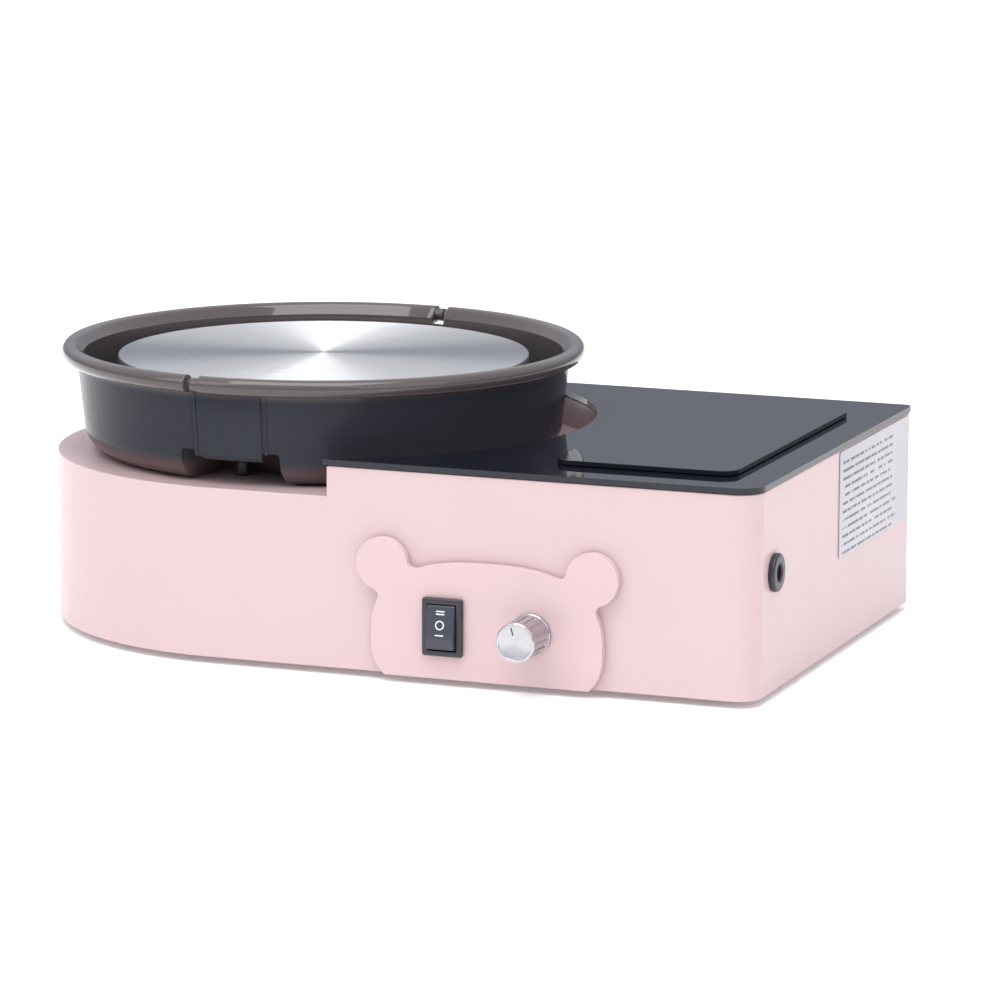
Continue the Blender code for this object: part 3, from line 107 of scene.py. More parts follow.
# ---------------------------------------------------------------- modelling
class Workpiece:
    """A mesh that is shaped step by step with Blender's own modelling tools."""

    def __init__(self, name: str) -> None:
        """Take the primitive that was just added.

        Args:
            name: What the piece is called.
        """
        self.item = bpy.context.active_object
        self.item.name = name
        self.item.data.name = name
        self.settle()

    @staticmethod
    def clear_selection() -> None:
        """Deselect everything, so that an operator acts on one piece alone."""
        bpy.ops.object.select_all(action="DESELECT")

    @classmethod
    def block(cls, name: str, low: Point, high: Point) -> "Workpiece":
        """A cube stretched between two corners.

        Args:
            name: What the piece is called.
            low: Its lowest corner, from the origin of the model.
            high: Its highest corner.

        Returns:
            The new piece.
        """
        cls.clear_selection()
        start, end = Vector(low), Vector(high)
        bpy.ops.mesh.primitive_cube_add(size=1, location=(start + end) / 2)
        bpy.context.active_object.scale = end - start
        return cls(name)

    @classmethod
    def disc(cls, name: str, radius: float, centre: Point = (0, 0, 0), sides: int = 64) -> "Workpiece":
        """A flat round face.

        Args:
            name: What the piece is called.
            radius: Its radius.
            centre: Its centre.
            sides: How many sides its outline has.

        Returns:
            The new piece.
        """
        cls.clear_selection()
        bpy.ops.mesh.primitive_circle_add(vertices=sides, radius=radius, fill_type="NGON", location=centre)
        return cls(name)

    @classmethod
    def rod(cls, name: str, radius: float, low: float, high: float, centre: Point = (0, 0),
            sides: int = 48) -> "Workpiece":
        """An upright cylinder.

        Args:
            name: What the piece is called.
            radius: Its radius.
            low: The height of its bottom.
            high: The height of its top.
            centre: Where it stands, across and back.
            sides: How many sides it has.

        Returns:
            The new piece.
        """
        cls.clear_selection()
        bpy.ops.mesh.primitive_cylinder_add(vertices=sides, radius=radius, depth=high - low,
                                            location=(centre[0], centre[1], (low + high) / 2))
        return cls(name)

    @classmethod
    def drawn(cls, name: str, corners: Sequence[Vector]) -> "Workpiece":
        """A chain of edges, drawn by extruding one point from corner to corner.

        Args:
            name: What the piece is called.
            corners: Where the chain goes; if it ends where it starts, it is closed.

        Returns:
            The new piece.
        """
        cls.clear_selection()
        bpy.ops.mesh.primitive_plane_add(size=0.001, location=corners[0])
        piece = cls(name)
        with piece.editing():
            bpy.ops.mesh.select_mode(type="VERT")
            bpy.ops.mesh.select_all(action="SELECT")
            bpy.ops.mesh.merge(type="CENTER")
            for here, there in zip(corners, corners[1:]):
                bpy.ops.mesh.extrude_region_move(TRANSFORM_OT_translate={"value": there - here})
            bpy.ops.mesh.select_all(action="SELECT")
            bpy.ops.mesh.remove_doubles(threshold=1e-6)
        return piece

    @classmethod
    def plate(cls, name: str, outline: Sequence[Point], thickness: float) -> "Workpiece":
        """A closed outline, filled and made a solid.

        Args:
            name: What the piece is called.
            outline: Its corners, across and up, in order.
            thickness: How far it is thickened upwards.

        Returns:
            The new piece.
        """
        piece = cls.drawn(name, [Vector((*corner, 0)) for corner in (*outline, outline[0])])
        with piece.editing():
            bpy.ops.mesh.select_all(action="SELECT")
            bpy.ops.mesh.edge_face_add()
        return piece.thicken(thickness)

    @classmethod
    def turned(cls, name: str, profile: Sequence[Point], steps: int = 96, start: float = 0.0,
               sweep: float = 2 * math.pi, closed: bool = False) -> "Workpiece":
        """A profile spun round the upright axis.

        Args:
            name: What the piece is called.
            profile: Radius and height of each of its corners, in order.
            steps: How many steps the spin takes.
            start: The angle where the spin starts, from +X.
            sweep: How far it goes round.
            closed: Whether the last corner joins the first.

        Returns:
            The new piece, a closed solid.
        """
        across, back = math.cos(start), math.sin(start)
        corners = [Vector((radius * across, radius * back, height)) for radius, height in profile]
        if closed:
            corners.append(corners[0])
        piece = cls.drawn(name, corners)
        with piece.editing():
            bpy.ops.mesh.select_all(action="SELECT")
            bpy.ops.mesh.spin(steps=steps, angle=sweep, center=(0, 0, 0), axis=(0, 0, -1))
            piece.close_up()
        return piece

    @contextmanager
    def editing(self) -> Iterator[None]:
        """Edit mode on this piece alone, for as long as the block lasts."""
        self.choose()
        bpy.ops.object.mode_set(mode="EDIT")
        yield
        bpy.ops.object.mode_set(mode="OBJECT")

    def choose(self) -> None:
        """Make this the only selected piece, and the active one."""
        self.clear_selection()
        self.item.select_set(True)
        bpy.context.view_layer.objects.active = self.item

    def pick(self, element: Element, rule: Callable[..., bool]) -> None:
        """Select in edit mode what a rule accepts, and nothing else.

        Args:
            element: Whether vertices, edges or faces are picked.
            rule: Told each one, says whether it is wanted.
        """
        bpy.ops.mesh.select_mode(type=element.name)
        bpy.ops.mesh.select_all(action="DESELECT")
        mesh = bmesh.from_edit_mesh(self.item.data)
        mesh.normal_update()
        for part in getattr(mesh, element.value):
            part.select_set(bool(rule(part)))
        mesh.select_flush_mode()
        bmesh.update_edit_mesh(self.item.data)

    def close_up(self) -> None:
        """Merge doubles, cap open ends and point every face outwards, in edit mode."""
        bpy.ops.mesh.select_all(action="SELECT")
        bpy.ops.mesh.remove_doubles(threshold=1e-6)
        bpy.ops.mesh.fill_holes(sides=0)
        bpy.ops.mesh.select_all(action="SELECT")
        bpy.ops.mesh.normals_make_consistent(inside=False)

    def thicken(self, depth: float) -> "Workpiece":
        """Make a flat face a solid, upwards by a depth."""
        with self.editing():
            bpy.ops.mesh.select_all(action="SELECT")
            bpy.ops.mesh.extrude_region_move(TRANSFORM_OT_translate={"value": (0, 0, depth)})
            self.close_up()
        return self

    def round_corners(self, rule: Callable[..., bool], radius: float, steps: int) -> "Workpiece":
        """Round a flat outline's corners.

        Args:
            rule: Says which vertices are rounded.
            radius: How far from each corner the rounding starts.
            steps: How many segments it has.

        Returns:
            This piece.
        """
        with self.editing():
            self.pick(Element.VERT, rule)
            bpy.ops.mesh.bevel(offset=radius, segments=steps, affect="VERTICES", clamp_overlap=False)
            bpy.ops.mesh.select_all(action="SELECT")
            bpy.ops.mesh.remove_doubles(threshold=1e-7)
        return self

    def round_edges(self, rule: Callable[..., bool], radius: float, steps: int = 3) -> "Workpiece":
        """Round the edges that a rule picks.

        Args:
            rule: Says which edges are rounded.
            radius: The rounding's size.
            steps: How many segments it has; one makes a chamfer.

        Returns:
            This piece.
        """
        with self.editing():
            self.pick(Element.EDGE, rule)
            bpy.ops.mesh.bevel(offset=radius, segments=steps, affect="EDGES", clamp_overlap=True)
        return self

    def combine(self, other: "Workpiece", joinery: Joinery) -> "Workpiece":
        """Cut another solid out of this one, weld it on, or keep what both fill.

        Args:
            other: The second solid, which is used up.
            joinery: What is done with it.

        Returns:
            This piece.
        """
        self.choose()
        bpy.ops.object.modifier_add(type="BOOLEAN")
        boolean = self.item.modifiers[-1]
        boolean.operation = joinery.value
        boolean.solver = "EXACT"
        boolean.object = other.item
        bpy.ops.object.modifier_apply(modifier=boolean.name)
        mesh = other.item.data
        bpy.data.objects.remove(other.item, do_unlink=True)
        bpy.data.meshes.remove(mesh)
        return self

    def cut(self, *others: "Workpiece") -> "Workpiece":
        """Cut each of these solids out of this one."""
        for other in others:
            self.combine(other, Joinery.CUT)
        return self

    def weld(self, *others: "Workpiece") -> "Workpiece":
        """Weld each of these solids on to this one."""
        for other in others:
            self.combine(other, Joinery.WELD)
        return self

    def soften(self, radius: float, steps: int = 3, angle: float = SHARP) -> "Workpiece":
        """Round every edge that is sharper than an angle, and shade the piece smooth.

        Args:
            radius: The rounding's size.
            steps: How many segments it has.
            angle: In degrees, how much the faces have to turn at an edge.

        Returns:
            This piece.
        """
        with self.editing():
            bpy.ops.mesh.select_all(action="SELECT")
            bpy.ops.mesh.remove_doubles(threshold=2e-6)
            bpy.ops.mesh.dissolve_degenerate(threshold=2e-6)
            bpy.ops.mesh.select_all(action="SELECT")
            bpy.ops.mesh.dissolve_limited(angle_limit=math.radians(0.05))
        self.choose()
        bpy.ops.object.modifier_add(type="BEVEL")
        bevel = self.item.modifiers[-1]
        bevel.width = radius
        bevel.segments = steps
        bevel.limit_method = "ANGLE"
        bevel.angle_limit = math.radians(angle)
        bevel.use_clamp_overlap = True
        bevel.harden_normals = False
        bpy.ops.object.modifier_apply(modifier=bevel.name)
        return self.smooth()

    def smooth(self, angle: float = 32.0) -> "Workpiece":
        """Shade smooth, with edges sharper than an angle in degrees kept crisp."""
        self.choose()
        bpy.ops.object.shade_smooth_by_angle(angle=math.radians(angle))
        return self

    def flatten(self) -> "Workpiece":
        """Let the large faces keep their own direction in the shading of the roundings beside them."""
        self.choose()
        bpy.ops.object.modifier_add(type="WEIGHTED_NORMAL")
        weighted = self.item.modifiers[-1]
        weighted.keep_sharp = True
        weighted.weight = 100
        bpy.ops.object.modifier_apply(modifier=weighted.name)
        return self

    def settle(self) -> "Workpiece":
        """Move the object's place, turn and size into its mesh."""
        self.choose()
        bpy.ops.object.transform_apply(location=True, rotation=True, scale=True)
        return self

    def place(self, at: Point = (0, 0, 0), facing: Facing = Facing.UP, turn: float = 0.0) -> "Workpiece":
        """Turn the piece about the upright axis, tip it to face a side, and move it.

        Args:
            at: Where its own origin goes.
            facing: The side that its top looks to afterwards.
            turn: The turn before that, in radians.

        Returns:
            This piece.
        """
        tip = Matrix.Rotation(facing.value[2], 4, "Z") @ Matrix.Rotation(facing.value[0], 4, "X")
        self.item.matrix_world = Matrix.Translation(Vector(at)) @ tip @ Matrix.Rotation(turn, 4, "Z")
        return self.settle()

    def copy(self, name: str) -> "Workpiece":
        """A copy with a mesh of its own.

        Args:
            name: What the copy is called.

        Returns:
            The copy.
        """
        self.choose()
        bpy.ops.object.duplicate(linked=False)
        return Workpiece(name)

    def fit(self, body: str, material: bpy.types.Material, slot: str,
            nodes: Sequence[str] = ()) -> bpy.types.Object:
        """Put the finished piece on its body, in the frame's own place.

        Args:
            body: The frame body that it moves with.
            material: Its finish.
            slot: Not used.
            nodes: The frame nodes that it stands for.

        Returns:
            The finished object.
        """
        self.place(at=ORIGIN)
        self.item.data.materials.clear()
        self.item.data.materials.append(material)
        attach(self.item, body)
        if nodes:
            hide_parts(*nodes)
        LOG.info("%s rides on %s: %d faces", self.item.name, body, len(self.item.data.polygons))
        return self.item


def arc(centre: Point, radius: float, start: float, end: float, steps: int) -> list[tuple[float, float]]:
    """Points along a circular arc.

    Args:
        centre: The arc's centre.
        radius: Its radius.
        start: The angle of its first point, in degrees.
        end: The angle of its last point.
        steps: How many steps lie between them.

    Returns:
        The points, both ends included.
    """
    turns = [math.radians(start + (end - start) * i / steps) for i in range(steps + 1)]
    return [(centre[0] + radius * math.cos(t), centre[1] + radius * math.sin(t)) for t in turns]


def bend(start: Point, corner: Point, end: Point, steps: int) -> list[tuple[float, float]]:
    """Points of a fillet that turns at a corner, without its two ends.

    Args:
        start: Where it starts.
        corner: Where its two tangents cross.
        end: Where it ends.
        steps: How many steps it has.

    Returns:
        The points.
    """
    points = []
    for i in range(1, steps):
        t = i / steps
        weights = ((1 - t) ** 2, 2 * t * (1 - t), t ** 2)
        points.append(tuple(sum(w * p[k] for w, p in zip(weights, (start, corner, end))) for k in (0, 1)))
    return points


def upright(edge: bmesh.types.BMEdge) -> bool:
    """Whether an edge stands upright."""
    run = edge.verts[0].co - edge.verts[1].co
    return run.length > 1e-6 and abs(run.z) > 0.99 * run.length


# ---------------------------------------------------------------- shader maths
class NodeBench:
    """A material's node tree, where each node is added by one method."""

    def __init__(self, name: str, tint: Colour) -> None:
        """Start a material with one Principled shader.

        Args:
            name: The material's name.
            tint: Its plain colour for viewports.
        """
        self.material = bpy.data.materials.new(name)
        self.material.use_nodes = True
        self.material.diffuse_color = (*tint, 1.0)
        self.tree = self.material.node_tree
        self.shader = self.tree.nodes["Principled BSDF"]

    def node(self, kind: str, settings: dict | None = None, **inputs: object) -> bpy.types.Node:
        """Add a node, set it up, and fill its sockets.

        Args:
            kind: The node's type.
            settings: Its own settings, set before its sockets are filled; "stops" are a ramp's.
            inputs: A value or a link for each socket, by name, or by number as "at_0".

        Returns:
            The new node.
        """
        node = self.tree.nodes.new(kind)
        for name, value in (settings or {}).items():
            if name == "stops":
                self.set_stops(node.color_ramp, value)
            else:
                setattr(node, name, value)
        for name, value in inputs.items():
            place = int(name[3:]) if name.startswith("at_") else name.replace("_", " ")
            self.feed(node.inputs[place], value)
        return node

    @staticmethod
    def set_stops(ramp: bpy.types.ColorRamp, stops: Sequence[tuple[float, Colour]]) -> None:
        """Give a ramp its stops, each a position and a colour."""
        while len(ramp.elements) < len(stops):
            ramp.elements.new(1.0)
        for element, (position, colour) in zip(ramp.elements, stops):
            element.position = position
            element.color = (*colour, 1.0)

    def feed(self, socket: bpy.types.NodeSocket, value: object) -> None:
        """Link or set one socket.

        Args:
            socket: The input socket.
            value: A Value, an output socket, a number or several numbers.
        """
        if isinstance(value, Value):
            value = value.socket
        if isinstance(value, bpy.types.NodeSocket):
            self.tree.links.new(value, socket)
        elif isinstance(value, (int, float)):
            socket.default_value = value
        else:
            numbers = tuple(value)
            wanted = len(socket.default_value)
            socket.default_value = numbers + (1.0,) * (wanted - len(numbers))

    def value(self, socket: bpy.types.NodeSocket) -> "Value":
        """Wrap a number socket for maths."""
        return Value(self, socket)

    def place(self) -> tuple["Value", "Value", "Value"]:
        """The point's own place on the object, from the wheel's axis at the housing's underside."""
        coordinates = self.node("ShaderNodeTexCoord").outputs["Object"]
        parts = self.node("ShaderNodeSeparateXYZ", Vector=coordinates).outputs
        return tuple(self.value(part) - offset for part, offset in zip(parts, ORIGIN))

    def vector(self, x: object, y: object, z: object) -> bpy.types.NodeSocket:
        """Join three numbers in a vector socket."""
        return self.node("ShaderNodeCombineXYZ", X=x, Y=y, Z=z).outputs[0]

    def noise(self, at: object, scale: float, detail: float = 2.0, roughness: float = 0.5) -> "Value":
        """Noise between 0 and 1.

        Args:
            at: The vector that it is read at.
            scale: How many features fit in a metre.
            detail: How many finer layers it has.
            roughness: How strong those are.

        Returns:
            Its value.
        """
        texture = self.node("ShaderNodeTexNoise", Vector=at, Scale=scale, Detail=detail,
                            Roughness=roughness)
        return self.value(texture.outputs["Fac"])

    def mix(self, factor: object, first: object, second: object) -> bpy.types.NodeSocket:
        """Mix two colours.

        Args:
            factor: How much of the second colour.
            first: A colour or a link.
            second: A colour or a link.

        Returns:
            The mixed colour's socket.
        """
        node = self.node("ShaderNodeMix", {"data_type": "RGBA"}, at_0=factor, at_6=first, at_7=second)
        return node.outputs[2]

    def bump(self, height: object, distance: float, strength: float = 1.0) -> bpy.types.NodeSocket:
        """A normal that follows a height.

        Args:
            height: The height, between 0 and 1.
            distance: What a height of 1 stands for, in metres.
            strength: How much of it shows.

        Returns:
            The normal's socket.
        """
        node = self.node("ShaderNodeBump", Height=height, Distance=distance, Strength=strength)
        return node.outputs["Normal"]

    def finish(self, **sockets: object) -> bpy.types.Material:
        """Fill the shader's sockets by name, and hand over the material."""
        for name, value in sockets.items():
            self.feed(self.shader.inputs[name.replace("_", " ")], value)
        return self.material


class Value:
    """A number socket that Python's operators work on."""

    def __init__(self, bench: NodeBench, socket: bpy.types.NodeSocket) -> None:
        """Wrap a socket of this bench's tree."""
        self.bench = bench
        self.socket = socket

    def maths(self, operation: str, *numbers: object) -> "Value":
        """Add a Math node.

        Args:
            operation: The node's operation.
            numbers: Its inputs, in order.

        Returns:
            Its result.
        """
        inputs = {f"at_{i}": number for i, number in enumerate(numbers)}
        node = self.bench.node("ShaderNodeMath", {"operation": operation}, **inputs)
        return Value(self.bench, node.outputs[0])

    def __add__(self, other: object) -> "Value":
        """Sum."""
        return self.maths("ADD", self, other)

    def __sub__(self, other: object) -> "Value":
        """Difference."""
        return self.maths("SUBTRACT", self, other)

    def __mul__(self, other: object) -> "Value":
        """Product."""
        return self.maths("MULTIPLY", self, other)

    def __truediv__(self, other: object) -> "Value":
        """Quotient."""
        return self.maths("DIVIDE", self, other)

    def __pow__(self, other: object) -> "Value":
        """Power."""
        return self.maths("POWER", self, other)

    def __radd__(self, other: object) -> "Value":
        """Sum, the number first."""
        return self.maths("ADD", other, self)

    def __rsub__(self, other: object) -> "Value":
        """Difference, the number first."""
        return self.maths("SUBTRACT", other, self)

    def __rmul__(self, other: object) -> "Value":
        """Product, the number first."""
        return self.maths("MULTIPLY", other, self)

    def __abs__(self) -> "Value":
        """Size without its sign."""
        return self.maths("ABSOLUTE", self)

    def __mod__(self, other: object) -> "Value":
        """Remainder, never negative."""
        return self.maths("FLOORED_MODULO", self, other)

    def floor(self) -> "Value":
        """The whole number below."""
        return self.maths("FLOOR", self)

    def between(self, low: float, high: float) -> "Value":
        """0 below low, 1 above high, and a smooth rise between them.

        Args:
            low: Where the rise starts.
            high: Where it ends.

        Returns:
            The risen value.
        """
        node = self.bench.node("ShaderNodeMapRange", {"interpolation_type": "SMOOTHSTEP"},
                               Value=self, From_Min=low, From_Max=high, To_Min=0.0, To_Max=1.0)
        return Value(self.bench, node.outputs[0])

    def below(self, edge: float) -> "Value":
        """1 where the value is less than an edge, and 0 elsewhere."""
        return self.maths("LESS_THAN", self, edge)


# ---------------------------------------------------------------- finishes
@dataclass(frozen=True)
class GlossyPlastic:
    """Moulded or cut plastic with a faint unevenness in its colour and gloss."""

    name: str
    colour: Colour
    roughness: float = 0.25
    uneven: float = 0.02
    grain: float = 0.00001
    grain_scale: float = 900.0
    specular: float = 0.5

    def make(self) -> bpy.types.Material:
        """The finish as a material."""
        bench = NodeBench(self.name, self.colour)
        at = bench.vector(*bench.place())
        cloud = bench.noise(at, 22.0, 3.0)
        fine = bench.noise(at, self.grain_scale, 2.0)
        dark = tuple(c * (1 - self.uneven) for c in self.colour)
        light = tuple(min(1.0, c * (1 + self.uneven)) for c in self.colour)
        return bench.finish(
            Base_Color=bench.mix(cloud, dark, light),
            Roughness=self.roughness * (0.85 + 0.3 * bench.noise(at, 60.0, 2.0)),
            Normal=bench.bump(fine, self.grain, 0.6), Specular_IOR_Level=self.specular)


@dataclass(frozen=True)
class PolishedSheet:
    """Polished black sheet, almost a mirror, with a few soft smears in its gloss."""

    name: str
    colour: Colour = (0.007, 0.008, 0.015)
    roughness: float = 0.035

    def make(self) -> bpy.types.Material:
        """The finish as a material."""
        bench = NodeBench(self.name, self.colour)
        x, y, z = bench.place()
        smear = bench.noise(bench.vector(x * 0.6, y, z), 30.0, 3.0, 0.6).between(0.45, 0.8)
        dust = bench.noise(bench.vector(x, y, z), 1500.0, 1.0).between(0.72, 0.80)
        return bench.finish(
            Base_Color=bench.mix(dust * 0.05, self.colour, (0.30, 0.31, 0.34)),
            Roughness=self.roughness + smear * 0.03 + dust * 0.05, IOR=1.49)


@dataclass(frozen=True)
class SmokyPlastic:
    """Smoke-tinted moulding: cool in the thin wall and warmer in the thick rolled rim, with a painted
    reflection of the pink ledge on its rounded foot and painted light on its inner face.
    """

    name: str
    wall: Colour
    rim: Colour
    # foot: a painted reflection of the pink ledge, on the pan's rounded foot
    foot: Colour
    # inside: the inner face painted lighter, as painted light that it catches
    inside: Colour
    rim_low: float
    rim_high: float
    foot_low: float
    foot_high: float
    inner_radius: float
    draft: float
    roughness: float = 0.22
    gloss: float = 0.09

    def make(self) -> bpy.types.Material:
        """The finish as a material."""
        bench = NodeBench(self.name, self.wall)
        x, y, z = bench.place()
        at = bench.vector(x, y, z)
        radius = (x * x + y * y) ** 0.5
        flow = bench.noise(bench.vector(x, y, z * 0.15), 18.0, 0.0)
        wall = bench.mix(flow, tuple(c * 0.8 for c in self.wall), tuple(c * 1.2 for c in self.wall))
        # The inner face takes the lighter inside colour: painted light on the pan's inner wall.
        inner_painted_light = 1 - (radius - (z - self.foot_high) * self.draft).between(
            self.inner_radius, self.inner_radius + 0.0006)
        wall = bench.mix(inner_painted_light, wall, self.inside)
        # The rounded foot takes the foot colour: a painted reflection of the pink ledge beside it.
        lower = bench.mix(z.between(self.foot_low, self.foot_high), self.foot, wall)
        thick = z.between(self.rim_low, self.rim_high)
        return bench.finish(
            Base_Color=bench.mix(thick, lower, self.rim),
            Roughness=self.roughness * (0.8 + 0.4 * bench.noise(at, 45.0, 3.0)),
            Normal=bench.bump(bench.noise(at, 1100.0, 2.0), 0.000008, 0.5),
            Specular_IOR_Level=self.gloss, Coat_Weight=thick * 0.9, Coat_Roughness=0.05)


@dataclass(frozen=True)
class TurnedMetal:
    """Metal faced on a lathe: fine rings round an axis, which spread its highlights into fans."""

    name: str
    colour: Colour
    centre: Point
    axis: str = "Z"
    roughness: float = 0.30
    anisotropy: float = 0.85
    ring_pitch: float = 0.00035
    ring_depth: float = 0.000006
    ring_line: float = 0.0

    def make(self) -> bpy.types.Material:
        """The finish as a material."""
        bench = NodeBench(self.name, self.colour)
        x, y, z = bench.place()
        first, second = (x, y) if self.axis == "Z" else (x, z)
        across, along = first - self.centre[0], second - self.centre[1]
        radius = (across * across + along * along) ** 0.5
        rings = bench.noise(bench.vector(radius, 0.0, 0.0), 1 / self.ring_pitch, 3.0, 0.7)
        broad = bench.noise(bench.vector(radius, 0.0, 0.0), 260.0, 2.0)
        dark = tuple(c * 0.86 for c in self.colour)
        colour = bench.mix(rings * 0.6 + broad * 0.4, dark, self.colour)
        if self.ring_line:
            line = 1 - abs(radius - self.ring_line).between(0.00010, 0.00045)
            colour = bench.mix(line * 0.35, colour, tuple(c * 0.55 for c in self.colour))
        tangent = bench.node("ShaderNodeTangent", {"direction_type": "RADIAL", "axis": self.axis})
        return bench.finish(
            Base_Color=colour, Metallic=1.0, Anisotropic=self.anisotropy, Anisotropic_Rotation=0.25,
            Roughness=self.roughness * (0.8 + 0.4 * broad), Tangent=tangent.outputs[0],
            Normal=bench.bump(rings, self.ring_depth, 0.5))


@dataclass(frozen=True)
class PlainMetal:
    """Cast or drawn metal with a cloudy gloss."""

    name: str
    colour: Colour
    roughness: float = 0.35
    grain: float = 0.00002
    grain_scale: float = 700.0

    def make(self) -> bpy.types.Material:
        """The finish as a material."""
        bench = NodeBench(self.name, self.colour)
        at = bench.vector(*bench.place())
        cloud = bench.noise(at, 90.0, 3.0)
        return bench.finish(
            Base_Color=bench.mix(cloud, tuple(c * 0.85 for c in self.colour), self.colour),
            Metallic=1.0, Roughness=self.roughness * (0.7 + 0.6 * cloud),
            Normal=bench.bump(bench.noise(at, self.grain_scale, 2.0), self.grain, 0.6))


@dataclass(frozen=True)
class CircuitBoard:
    """Green board with paler tracks and pads."""

    name: str
    colour: Colour = (0.02, 0.12, 0.05)
    track: Colour = (0.05, 0.24, 0.10)
    pitch: float = 0.0025

    def make(self) -> bpy.types.Material:
        """The finish as a material."""
        bench = NodeBench(self.name, self.colour)
        x, y, z = bench.place()
        lane = abs(y % self.pitch - self.pitch / 2).below(self.pitch * 0.16)
        stretch = bench.noise(bench.vector(x * 0.4, (y / self.pitch).floor(), 0.0), 120.0).between(0.45, 0.5)
        return bench.finish(Base_Color=bench.mix(lane * stretch, self.colour, self.track),
                            Roughness=0.35 + 0.2 * bench.noise(bench.vector(x, y, z), 300.0),
                            Normal=bench.bump(lane, 0.00004, 0.5))


@dataclass(frozen=True)
class BlankLabel:
    """A white plastic label with rows of plain grey bars and no lettering."""

    name: str
    left: float
    bottom: float
    length: float
    height: float
    paper: Colour = (0.54, 0.52, 0.56)
    ink: Colour = (0.10, 0.10, 0.12)
    rows: int = 13

    def make(self) -> bpy.types.Material:
        """The finish as a material."""
        bench = NodeBench(self.name, self.paper)
        x, y, z = bench.place()
        along, up = (y - self.left) / self.length, (z - self.bottom) / self.height
        row = (up * self.rows).floor()
        inside = abs((up * self.rows) % 1.0 - 0.5).below(0.17)
        words = bench.noise(bench.vector(along * 3.0, row * 7.3, 0.0), 14.0, 0.0).between(0.38, 0.42)
        reach = 0.55 + 0.42 * bench.noise(bench.vector(0.0, row * 3.7, 0.0), 5.0, 0.0)
        column = (0.04 - along).below(0.0) * (along - reach).below(0.0)
        band = abs(up - 0.47).below(0.45)
        bars = inside * words * column * band
        return bench.finish(Base_Color=bench.mix(bars * 0.92, self.paper, self.ink),
                            Roughness=0.30 + 0.1 * bench.noise(bench.vector(x, y, z), 200.0),
                            Normal=bench.bump(bench.noise(bench.vector(x, y, z), 500.0), 0.00001, 0.4))


PINK_ABS = GlossyPlastic("pink_abs", (0.636, 0.482, 0.492), 0.22, 0.012, 0.000006, 1300.0, 0.18)
PINK_ACRYLIC = GlossyPlastic("pink_acrylic", (0.645, 0.472, 0.486), 0.14, 0.008, 0.000003, 1600.0, 0.4)
BLACK_ACRYLIC = PolishedSheet("black_acrylic")
BLACK_PLASTIC = GlossyPlastic("black_plastic", (0.030, 0.029, 0.038), 0.34, 0.10, 0.00003, 2600.0)
ROCKER_PLASTIC = GlossyPlastic("rocker_plastic", (0.044, 0.047, 0.066), 0.33, 0.10, 0.00003, 2600.0)
RUBBER = GlossyPlastic("rubber", (0.022, 0.022, 0.023), 0.72, 0.15, 0.00006, 1800.0)
MARK_INK = GlossyPlastic("mark_ink", (0.82, 0.83, 0.86), 0.45, 0.03, 0.00001, 2500.0)
POINTER_INK = GlossyPlastic("pointer_ink", (0.012, 0.012, 0.014), 0.40, 0.05, 0.00001, 2500.0)
LEAD_RED = GlossyPlastic("lead_red", (0.40, 0.02, 0.02), 0.42, 0.06, 0.00002, 1500.0)
STEEL = PlainMetal("steel", (0.62, 0.62, 0.63), 0.28)
CAST_ALUMINIUM = PlainMetal("cast_aluminium", (0.58, 0.59, 0.61), 0.48, 0.00005, 900.0)


# ---------------------------------------------------------------- housing and plates
@dataclass
class BodyPlan:
    """The plan that the housing, its rooms and the top plate share: a round end and a square end."""

    depth: float = 0.1864
    end_offset: float = 0.0058
    right_reach: float = 0.1990
    front_corner: float = 0.0090
    back_corner: float = 0.0030
    recess_radius: float = 0.1013

    def slab(self, name: str, low: float, high: float, inset: float = 0.0) -> Workpiece:
        """The plan as a solid.

        Args:
            name: What it is called.
            low: The height of its underside.
            high: The height of its top.
            inset: How far it lies inside the housing's outline; less than 0 is outside.

        Returns:
            The slab.
        """
        half = self.depth / 2 - inset
        right = self.right_reach - inset
        piece = Workpiece.disc(name, half, (-self.end_offset, 0, 0), 144)
        with piece.editing():
            bpy.ops.mesh.select_all(action="SELECT")
            bpy.ops.mesh.bisect(plane_co=(-self.end_offset, 0, 0), plane_no=(1, 0, 0), clear_outer=True,
                                threshold=1e-6)
            piece.pick(Element.EDGE, lambda edge: all(v.co.x > -self.end_offset - CLOSE for v in edge.verts))
            bpy.ops.mesh.extrude_region_move(
                TRANSFORM_OT_translate={"value": (right + self.end_offset, 0, 0)})
        corners = ((-1, self.front_corner), (1, self.back_corner))
        for side, radius in corners:
            piece.round_corners(lambda v, side=side: v.co.x > right - CLOSE and v.co.y * side > half - CLOSE,
                                max(radius - inset, GAP), 10)
        with piece.editing():
            bpy.ops.mesh.select_mode(type="FACE")
            bpy.ops.mesh.select_all(action="SELECT")
            bpy.ops.mesh.dissolve_faces()
        return piece.thicken(high - low).place(at=(0, 0, low))

    def recess(self, name: str, low: float, high: float, extra: float = 0.0) -> Workpiece:
        """The round room that the splash pan stands in, as a solid."""
        return Workpiece.rod(name, self.recess_radius + extra, low, high, sides=192)


